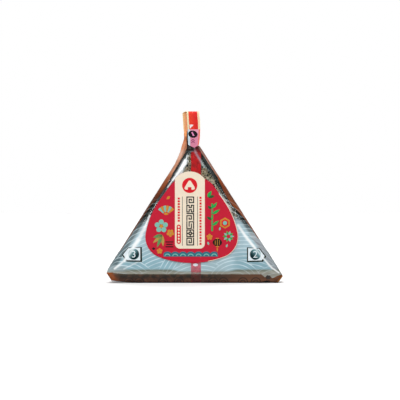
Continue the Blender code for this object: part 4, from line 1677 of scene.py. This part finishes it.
def right_marks():
    """Right of the band: leaves, a bamboo stem, a tortoise-shell tile, a rosette and a lantern."""
    marks = [(leaf(6.9, 46.4, 4.0, 1.8, 56.0), GREEN), (leaf(7.2, 46.2, 3.8, 1.6, 14.0), DEEP)]
    for i in range(5):
        marks.append((bar(9.4, 29.4 + i * 3.05, 0.95, 2.7), LEAF if i % 2 else GREEN))
    for z, turn, length in STEM_LEAVES:
        x, ink = (9.6, GREEN) if turn < 90.0 else (9.0, DEEP)
        marks.append((leaf(x, z, length, 1.5, turn), ink))
    marks.append((regular(TILE_X, TILE_Z, 3.0, 6, 30.0), GOLD))
    marks += rosette(18.2, 25.2, 3.1, 10, GREEN, AQUA)
    marks.append((oval(LANTERN_X, LANTERN_Z, 2.5, 2.0), BLACK))
    for side in (1.0, -1.0):
        marks.append((bar(LANTERN_X, LANTERN_Z + 2.2 * side, 1.6, 0.5), GOLD))
    marks.append((leaf(LANTERN_X, LANTERN_Z - 2.6, 2.4, 0.7, 270.0), GOLD))
    marks += blossom(8.0, 24.9, 1.7, GOLD, OLIVE)
    for x, z, turn in SMALL_LEAVES:
        marks.append((leaf(x, z, 1.9, 1.0, turn), AQUA))
    return marks


# On the band: the round mark's middle, the frets' middle, spacing and cell, and the pill's middle.
MARK_X, MARK_Z = -2.7, 52.65
FRET_X, FRET_TOP_Z, FRET_PITCH, FRET_CELL = -2.4, 44.6, 4.44, 0.6
PILL_X, PILL_Z = -8.59, 26.35


def band_marks():
    """On the band: a red disc, two rules, a column of frets, and dotted lines."""
    marks = [(disc(MARK_X, MARK_Z, 4.1, 36), RED), (pill(PILL_X, PILL_Z, 2.27, 10.5), RED)]
    for i, rows in enumerate(FRET_ROWS):
        marks += [(shape, BLACK) for shape in fret(FRET_X, FRET_TOP_Z - i * FRET_PITCH, FRET_CELL, rows)]
    for x in (-6.64, 1.51):
        marks.append((bar(x, 33.4, 0.3, 26.5), GREY))
    for i in range(9):
        marks.append((bar(PILL_X, 45.6 - i * 1.5, 1.2, 1.0), RED))
    for i in range(17):
        marks.append((bar(3.13, 46.0 - i * 1.55, 1.1, (1.15, 0.8)[i % 2]), RED))
    return marks


# The scallops at the sticker's foot: from and to, their foot's height, radius and half spacing.
SCALLOP_START, SCALLOP_END, SCALLOP_Z, SCALLOP_R, SCALLOP_HALF = -16.8, 12.5, 14.3, 2.75, 2.1
# The plain rice ball's corners: their middles, the angles that each turns through, and the rounding.
RICE_BALL_CORNERS = ((-2.7, 54.5, 30.0, 150.0), (-4.7, 51.2, 150.0, 270.0), (-0.7, 51.2, -90.0, 30.0))
RICE_BALL_ROUND = 0.8


def label_marks():
    """The plain devices on the sticker, by their height: on the red, on the band, and over those."""
    low = left_marks() + right_marks()
    low.append((scallops(SCALLOP_START, SCALLOP_END, SCALLOP_Z, SCALLOP_R, SCALLOP_HALF), BLUE))
    low += cut_edge()
    rice_ball = []
    for x, z, start, end in RICE_BALL_CORNERS:
        rice_ball += arc((x, z), RICE_BALL_ROUND, math.radians(start), math.radians(end), 6)
    top = [(rice_ball, CREAM), (regular(TILE_X, TILE_Z, 2.1, 6, 30.0), RED)]
    for i in range(7):
        x = SCALLOP_START + (2 * i + 1) * SCALLOP_HALF
        top.append((slice_of_ring(x, SCALLOP_Z, 1.15, 1.65, 12.0, 168.0, 8), AQUA))
    for turn in (-1.0, 0.0, 1.0):
        top.append((bar(LANTERN_X + 1.15 * turn, LANTERN_Z, 0.28, 3.4 - 1.0 * abs(turn)), GOLD))
    for i in range(6):
        top.append((disc(PILL_X, 30.35 - i * 1.6, 0.55, 10), CREAM))
    over = [(bar(MARK_X, 51.0, 1.9, 1.5), RED), (regular(TILE_X, TILE_Z, 1.2, 6, 30.0), AQUA)]
    return low, band_marks(), top, over


def cut_edge():
    """The thin pale strip of bare paper along the sticker's right side."""
    side = [(LABEL_X + x, z) for x, z in LABEL_SIDE if z < 49.0 and x > 8.0]
    strips = []
    for (x0, z0), (x1, z1) in zip(side, side[1:]):
        size = math.hypot(x1 - x0, z1 - z0)
        in_x, in_z = -CUT_EDGE * (z1 - z0) / size, CUT_EDGE * (x1 - x0) / size
        strips.append(([(x0, z0), (x1, z1), (x1 + in_x, z1 + in_z), (x0 + in_x, z0 + in_z)], CREAM))
    return strips


def make_label_print(surface, inks):
    """The printed shapes, each layer a little above the last."""
    low, high, top, over = label_marks()
    layers = (
        ("marks", low, LABEL_FRONT - OVERLAP, LABEL_FRONT + INK),
        ("signs", high, LABEL_FRONT + INK - OVERLAP, LABEL_FRONT + 2 * INK),
        ("details", top, LABEL_FRONT + INK, LABEL_FRONT + 3 * INK),
        ("accents", over, LABEL_FRONT + 2 * INK, LABEL_FRONT + 4 * INK),
    )
    pieces = []
    for name, shapes, back, front in layers:
        bm = lay_sheet(shapes, surface, back, front, LABEL_STEP)
        pieces.append(finish_piece("label_" + name, bm, inks))
    return pieces


# The numbered arrows: their outlines' corners, the discs' middles and the numbers.
LEFT_ARROW = ((-39.4, 15.3), (-36.2, 19.4), (-28.6, 19.7), (-28.5, 11.6), (-36.9, 11.8))
RIGHT_ARROW = ((28.0, 19.5), (28.0, 11.5), (36.7, 11.7), (38.5, 14.5), (34.9, 19.1))
LEFT_BALL, RIGHT_BALL = (-32.9, 15.6), (32.7, 15.5)
BALL_RADIUS, FIGURE_HEIGHT = 2.95, 3.6
# The pale field's size in its dark edge, how far the edge is set off, and the cuts' spacing.
FIELD_SIZE, EDGE_X, EDGE_Z, STEP_CUTS = 0.85, 0.15, -0.2, 1.3


def make_step_marks(surface, inks):
    """The two numbered arrows on the lower film: dark edge, pale field, ball and figure."""
    black, white, left_ball, right_ball = range(4)
    edges, fields, discs, figures = [], [], [], []
    for outline, centre, mark, ball in (
        (LEFT_ARROW, LEFT_BALL, "3", left_ball),
        (RIGHT_ARROW, RIGHT_BALL, "2", right_ball),
    ):
        mid_x = sum(x for x, _ in outline) / len(outline)
        mid_z = sum(z for _, z in outline) / len(outline)
        field = [(mid_x + (x - mid_x) * FIELD_SIZE, mid_z + (z - mid_z) * FIELD_SIZE) for x, z in outline]
        edges.append(([(x + EDGE_X, z + EDGE_Z) for x, z in outline], black))
        fields.append((field, white))
        discs.append((disc(*centre, BALL_RADIUS, 32), ball))
        figures += [(shape, white) for shape in numeral(mark, *centre, FIGURE_HEIGHT)]
    pieces = []
    layers = (("edge", edges), ("field", fields), ("disc", discs), ("figure", figures))
    for i, (name, shapes) in enumerate(layers):
        back = 0.01 + INK * i
        bm = lay_sheet(shapes, surface, back, back + 0.035, 0.0 if name == "figure" else STEP_CUTS)
        pieces.append(finish_piece("step_" + name, bm, inks))
    return pieces


# The tab's rows, the same as the solid's: left and right edge and height, up the front and down behind.
TAB_FRONT_Y, TAB_FOLD_R, TAB_FOLD_Z = -14.6, 1.3, 91.35
TAB_FOLD_STEPS = 12
TAB_POINT_Z = 72.95
TAB_FRONT_ROWS = (
    (-3.5, 2.3, 74.5), (-3.7, 2.8, 78.8), (-3.8, 2.95, 83.0), (-4.1, 2.9, 87.2), (-4.4, 2.5, 91.35),
)
TAB_BACK_ROWS = (
    (-6.6, 0.6, 91.35), (-6.3, 0.2, 87.2), (-6.1, -0.8, 83.5), (-5.7, -2.4, 80.9),
)
# The ribbon's prints: pink below, red above and tan behind, each with its edges.
TAB_RED_FROM, TAB_TAN_FROM, TAB_TAN_FULL = 0.2675, 0.585, 0.62
PINK_LOW, PINK_HIGH, PINK_LEFT_EDGE, PINK_RIGHT_EDGE = (
    paint(214, 130, 158), paint(228, 156, 180), paint(200, 215, 225), paint(235, 120, 100),
)
RED_LEFT, RED_RIGHT, RED_LEFT_EDGE, RED_RIGHT_EDGE = (
    paint(232, 66, 46), paint(218, 42, 42), paint(232, 218, 180), paint(244, 214, 176),
)
TAN_LEFT, TAN_RIGHT = paint(236, 196, 140), paint(232, 160, 112)


def make_tab_material():
    """The ribbon's print, by its own map: across it in U, and along it in V from the point."""
    material, tree, shader, place = new_material("tab_ribbon_print", roughness=0.5, specular=0.1)
    spot = add(tree, "ShaderNodeUVMap", uv_map="ribbon").outputs[0]
    parts = add(tree, "ShaderNodeSeparateXYZ", {0: spot}).outputs
    u, v = parts[0], parts[1]
    upper = more(tree, v, TAB_RED_FROM)
    rear = between(tree, v, TAB_TAN_FROM, TAB_TAN_FULL)
    low = mix_colour(tree, between(tree, v, 0.05, 0.26), PINK_LOW, PINK_HIGH)
    low = mix_colour(tree, between(tree, u, 0.21, 0.17), low, PINK_LEFT_EDGE)
    low = mix_colour(tree, between(tree, u, 0.86, 0.9), low, PINK_RIGHT_EDGE)
    high = mix_colour(tree, between(tree, u, 0.2, 0.8), RED_LEFT, RED_RIGHT)
    high = mix_colour(tree, between(tree, u, 0.16, 0.13), high, RED_LEFT_EDGE)
    high = mix_colour(tree, between(tree, u, 0.82, 0.85), high, RED_RIGHT_EDGE)
    tan = mix_colour(tree, between(tree, u, 0.0, 0.25), TAN_LEFT, TAN_RIGHT)
    colour = mix_colour(tree, rear, mix_colour(tree, upper, low, high), tan)
    colour = mottled(tree, place, colour, 350.0, 0.14)
    relief = crinkled(tree, place, 260.0, 0.00015, 0.6)
    feed(tree, shader, {"Base Color": colour, "Normal": relief})
    return material


def tab_rows():
    """The ribbon's rows from its point over the fold to its rear end: left, right, y and z."""
    rows = [(left, right, TAB_FRONT_Y, z) for left, right, z in TAB_FRONT_ROWS]
    first, last = TAB_FRONT_ROWS[-1], TAB_BACK_ROWS[0]
    for i in range(1, TAB_FOLD_STEPS):
        share = i / TAB_FOLD_STEPS
        angle = math.pi * share
        y = TAB_FRONT_Y + TAB_FOLD_R * (1.0 - math.cos(angle))
        z = TAB_FOLD_Z + TAB_FOLD_R * math.sin(angle)
        lean = smooth(share, 0.35, 1.0)
        left, right = (a + (b - a) * lean for a, b in zip(first[:2], last[:2]))
        rows.append((left, right, y, z))
    rows += [(left, right, TAB_FRONT_Y + 2.0 * TAB_FOLD_R, z) for left, right, z in TAB_BACK_ROWS]
    return rows


# Where the point lies across the ribbon, how hollow it is, its thickness and its steps across.
TAB_PEAK_SHARE = 0.58
TAB_HOLLOW, TAB_THICKNESS = 0.16, 0.2
TAB_STEPS_ACROSS = 12


def tab_mesh():
    """The folded ribbon, as a sheet with a slight hollow across it, given its thickness."""
    rows = tab_rows()
    lengths = [0.0]
    for a, b in zip(rows, rows[1:]):
        lengths.append(lengths[-1] + math.hypot(b[2] - a[2], b[3] - a[3]))
    places, spots = [], {}
    for k, ((left, right, y, z), length) in enumerate(zip(rows, lengths)):
        line = []
        for i in range(TAB_STEPS_ACROSS + 1):
            share = i / TAB_STEPS_ACROSS
            before_peak = share < TAB_PEAK_SHARE
            fall = share / TAB_PEAK_SHARE if before_peak else (1.0 - share) / (1.0 - TAB_PEAK_SHARE)
            drop = fall * (z - TAB_POINT_Z) if k == 0 else 0.0
            hollow = TAB_HOLLOW * math.sin(math.pi * share) if z < TAB_FOLD_Z else 0.0
            line.append(Vector((left + (right - left) * share, y + hollow, z - drop)))
            spots[line[-1].to_tuple(3)] = (share, length / lengths[-1])
        places.append(line)
    bm = sheet_from_rows(places)
    layer = bm.loops.layers.uv.new("ribbon")
    for face in bm.faces:
        for loop in face.loops:
            loop[layer].uv = spots[loop.vert.co.to_tuple(3)]
    bmesh.ops.recalc_face_normals(bm, faces=bm.faces)
    bmesh.ops.solidify(bm, geom=list(bm.faces), thickness=TAB_THICKNESS)
    bmesh.ops.recalc_face_normals(bm, faces=bm.faces)
    return bm


CHEVRON = ((0.0, 0.75), (-0.95, 0.0), (-0.95, -0.55), (0.0, 0.2), (0.95, -0.55), (0.95, 0.0))


def make_tab_pieces(material, inks):
    """The ribbon, and the small shapes printed on its front."""
    bm = tab_mesh()
    surface = BVHTree.FromBMesh(bm)
    ribbon = finish_piece("tab_ribbon", bm, [material], 50.0)
    black, white, pink, violet = range(4)
    corner = [(-2.8, 85.4), (-2.4, 83.3), (-0.6, 85.4)]
    marks = [(oval(-0.97, 80.3, 2.55, 1.95, -12.0), black), (corner, white)]
    for z in (75.9, 77.0):
        marks.append((place_shape(CHEVRON, -0.95, z), violet))
    figure = [(bar(-1.0, 80.4, 0.8, 2.3, 26.0), pink)]
    pieces = [ribbon]
    for name, shapes, back, front in (("tab_marks", marks, 0.0, INK), ("tab_figure", figure, 0.02, 2 * INK)):
        pieces.append(finish_piece(name, lay_sheet(shapes, surface, back, front), inks))
    return pieces


# ---------------------------------------------------------------- build


# The label's inks in the order of their indices, and the tab's.
LABEL_INKS = (
    ("red", (214, 32, 42)), ("black", (30, 28, 28)), ("grey", (96, 90, 84)), ("gold", (204, 140, 52)),
    ("aqua", (125, 190, 175)), ("green", (38, 165, 80)), ("leaf", (92, 146, 90)), ("deep", (45, 92, 52)),
    ("olive", (178, 156, 80)), ("blue", (55, 112, 130)), ("cream", (240, 225, 203)),
)
TAB_INKS = (
    ("black", (28, 24, 28)), ("white", (240, 236, 234)),
    ("pink", (226, 140, 188)), ("violet", (150, 70, 110)),
)
LABEL_RED, LABEL_CREAM = paint(194, 34, 56), paint(240, 225, 203)
STEP_BLACK, STEP_WHITE = paint(34, 42, 32), paint(224, 235, 240)


def stand_for(pieces, node):
    """Let pieces take a node's place: tie each to the root body and hide the node's own part."""
    for piece in pieces:
        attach(piece, "root")
        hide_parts(node)


def dress():
    """Make every piece and put it in its node's place, and give the tape its material."""
    film, surface = make_film(make_film_material())
    wrapped = [
        film,
        make_rice_core(make_core_material()),
        make_grains(make_rice_material()),
        make_flakes(make_flake_material()),
        make_nori(make_nori_material()),
        make_gather(make_brown_film_material()),
    ]
    label = [
        make_label(surface, make_print_material("label_red", LABEL_RED)),
        make_band(surface, make_print_material("label_cream", LABEL_CREAM)),
    ]
    label += make_label_print(
        surface, [make_print_material("ink_" + name, paint(*tone)) for name, tone in LABEL_INKS]
    )
    step_inks = [
        make_print_material("step_black", STEP_BLACK, crossed=True),
        make_print_material("step_white", STEP_WHITE, crossed=True),
        make_ball_material("step_ball_left", LEFT_BALL),
        make_ball_material("step_ball_right", RIGHT_BALL),
    ]
    wrapped += make_step_marks(surface, step_inks)
    tab_inks = [make_print_material("tab_" + name, paint(*tone), 0.5) for name, tone in TAB_INKS]
    tab = make_tab_pieces(make_tab_material(), tab_inks)

    stand_for(wrapped, "film_pack")
    stand_for(label, "front_label")
    stand_for(tab, "pull_tab")
    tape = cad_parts["tear_tape"]
    tape.data.materials.clear()
    tape.data.materials.append(make_tape_material())


# ---------------------------------------------------------------- floor, light and camera


FLOOR_HALF = 6.0
# How bright the floor is to the camera, how bright to the light that it gives back, and its own glow.
FLOOR_SEEN, FLOOR_BOUNCE, FLOOR_GLOW = 0.62, 0.3, 0.14
AMBIENT = 0.1
LIGHTS_TARGET = (0.0, 0.0, 0.04)
# Each sun's name, place, strength and angle in degrees.
SUNS = (
    ("key_sun", (-0.5, -0.4, 2.0), 1.7, 25.0),
    ("back_sun", (0.3, 1.5, 1.4), 2.2, 40.0),
    ("front_sun", (-0.3, -1.0, 1.0), 2.4, 40.0),
)
# Each softbox's name, place, width, height, turn in radians and watts.
SOFTBOXES = (
    ("softbox_left", (-0.245, -1.2, 0.17), 0.13, 0.28, 0.5, 0.7),
    ("softbox_right", (0.23, -1.2, 0.165), 0.09, 0.26, -0.5, 0.4),
)
CAMERA_PLACE, CAMERA_LENS, SENSOR_WIDTH = (0.00286, -1.212, 0.0448), 200.0, 36.0


def make_floor():
    """A flat white floor, brightened only as the camera sees it so that it meets the white beyond."""
    bm = bmesh.new()
    bmesh.ops.create_grid(bm, x_segments=1, y_segments=1, size=FLOOR_HALF)
    mesh = bpy.data.meshes.new("floor")
    bm.to_mesh(mesh)
    bm.free()
    material, tree, shader, _ = new_material("floor_white", roughness=0.8, specular=0.1)
    seen = add(tree, "ShaderNodeLightPath").outputs["Is Camera Ray"]
    tone = scaled(tree, seen, FLOOR_SEEN - FLOOR_BOUNCE, FLOOR_BOUNCE)
    glow = times(tree, seen, FLOOR_GLOW)
    feed(tree, shader, {"Base Color": tone, "Emission Color": WHITE, "Emission Strength": glow})
    mesh.materials.append(material)
    floor = bpy.data.objects.new("floor", mesh)
    bpy.context.scene.collection.objects.link(floor)


def add_light(name, kind, place, target, energy):
    """A light at a place, turned to shine at a target."""
    data = bpy.data.lights.new(name, kind)
    data.energy = energy
    item = bpy.data.objects.new(name, data)
    item.location = place
    item.rotation_euler = (Vector(target) - Vector(place)).to_track_quat("-Z", "Y").to_euler()
    bpy.context.scene.collection.objects.link(item)
    return item


def add_sun(name, place, energy, angle):
    """A sun that shines at the pack's foot, soft by its angle in degrees."""
    sun = add_light(name, "SUN", place, (0.0, 0.0, 0.0), energy)
    sun.data.angle = math.radians(angle)


def add_softbox(name, place, width, height, turn, energy):
    """A rectangular light beside the camera, turned about its own axis, that the film mirrors."""
    box = add_light(name, "AREA", place, LIGHTS_TARGET, energy)
    box.data.shape = "RECTANGLE"
    box.data.size = width
    box.data.size_y = height
    box.rotation_euler = (box.rotation_euler.to_matrix() @ Matrix.Rotation(turn, 3, "Z")).to_euler()


def make_world():
    """White where the camera sees it, and a dimmer even light on the object."""
    world = bpy.data.worlds.new("studio")
    world.use_nodes = True
    tree = world.node_tree
    shown = tree.nodes["Background"]
    feed(tree, shown, {"Color": WHITE, "Strength": 1.0})
    even = add(tree, "ShaderNodeBackground", {"Color": WHITE, "Strength": AMBIENT})
    seen = add(tree, "ShaderNodeLightPath").outputs["Is Camera Ray"]
    both = add(tree, "ShaderNodeMixShader", {0: seen, 1: even.outputs[0], 2: shown.outputs[0]})
    feed(tree, tree.nodes["World Output"], {"Surface": both.outputs[0]})
    bpy.context.scene.world = world


def light_and_camera():
    """The world, the lights and the camera that looks straight at the front."""
    make_world()
    for sun in SUNS:
        add_sun(*sun)
    for softbox in SOFTBOXES:
        add_softbox(*softbox)

    camera = bpy.data.cameras.new("camera")
    camera.sensor_width = SENSOR_WIDTH
    camera.lens = CAMERA_LENS
    item = bpy.data.objects.new("camera", camera)
    item.location = CAMERA_PLACE
    item.rotation_euler = (math.radians(90.0), 0.0, 0.0)
    bpy.context.scene.collection.objects.link(item)
    bpy.context.scene.camera = item
    bpy.context.scene.view_settings.view_transform = "Standard"


dress()
make_floor()
light_and_camera()
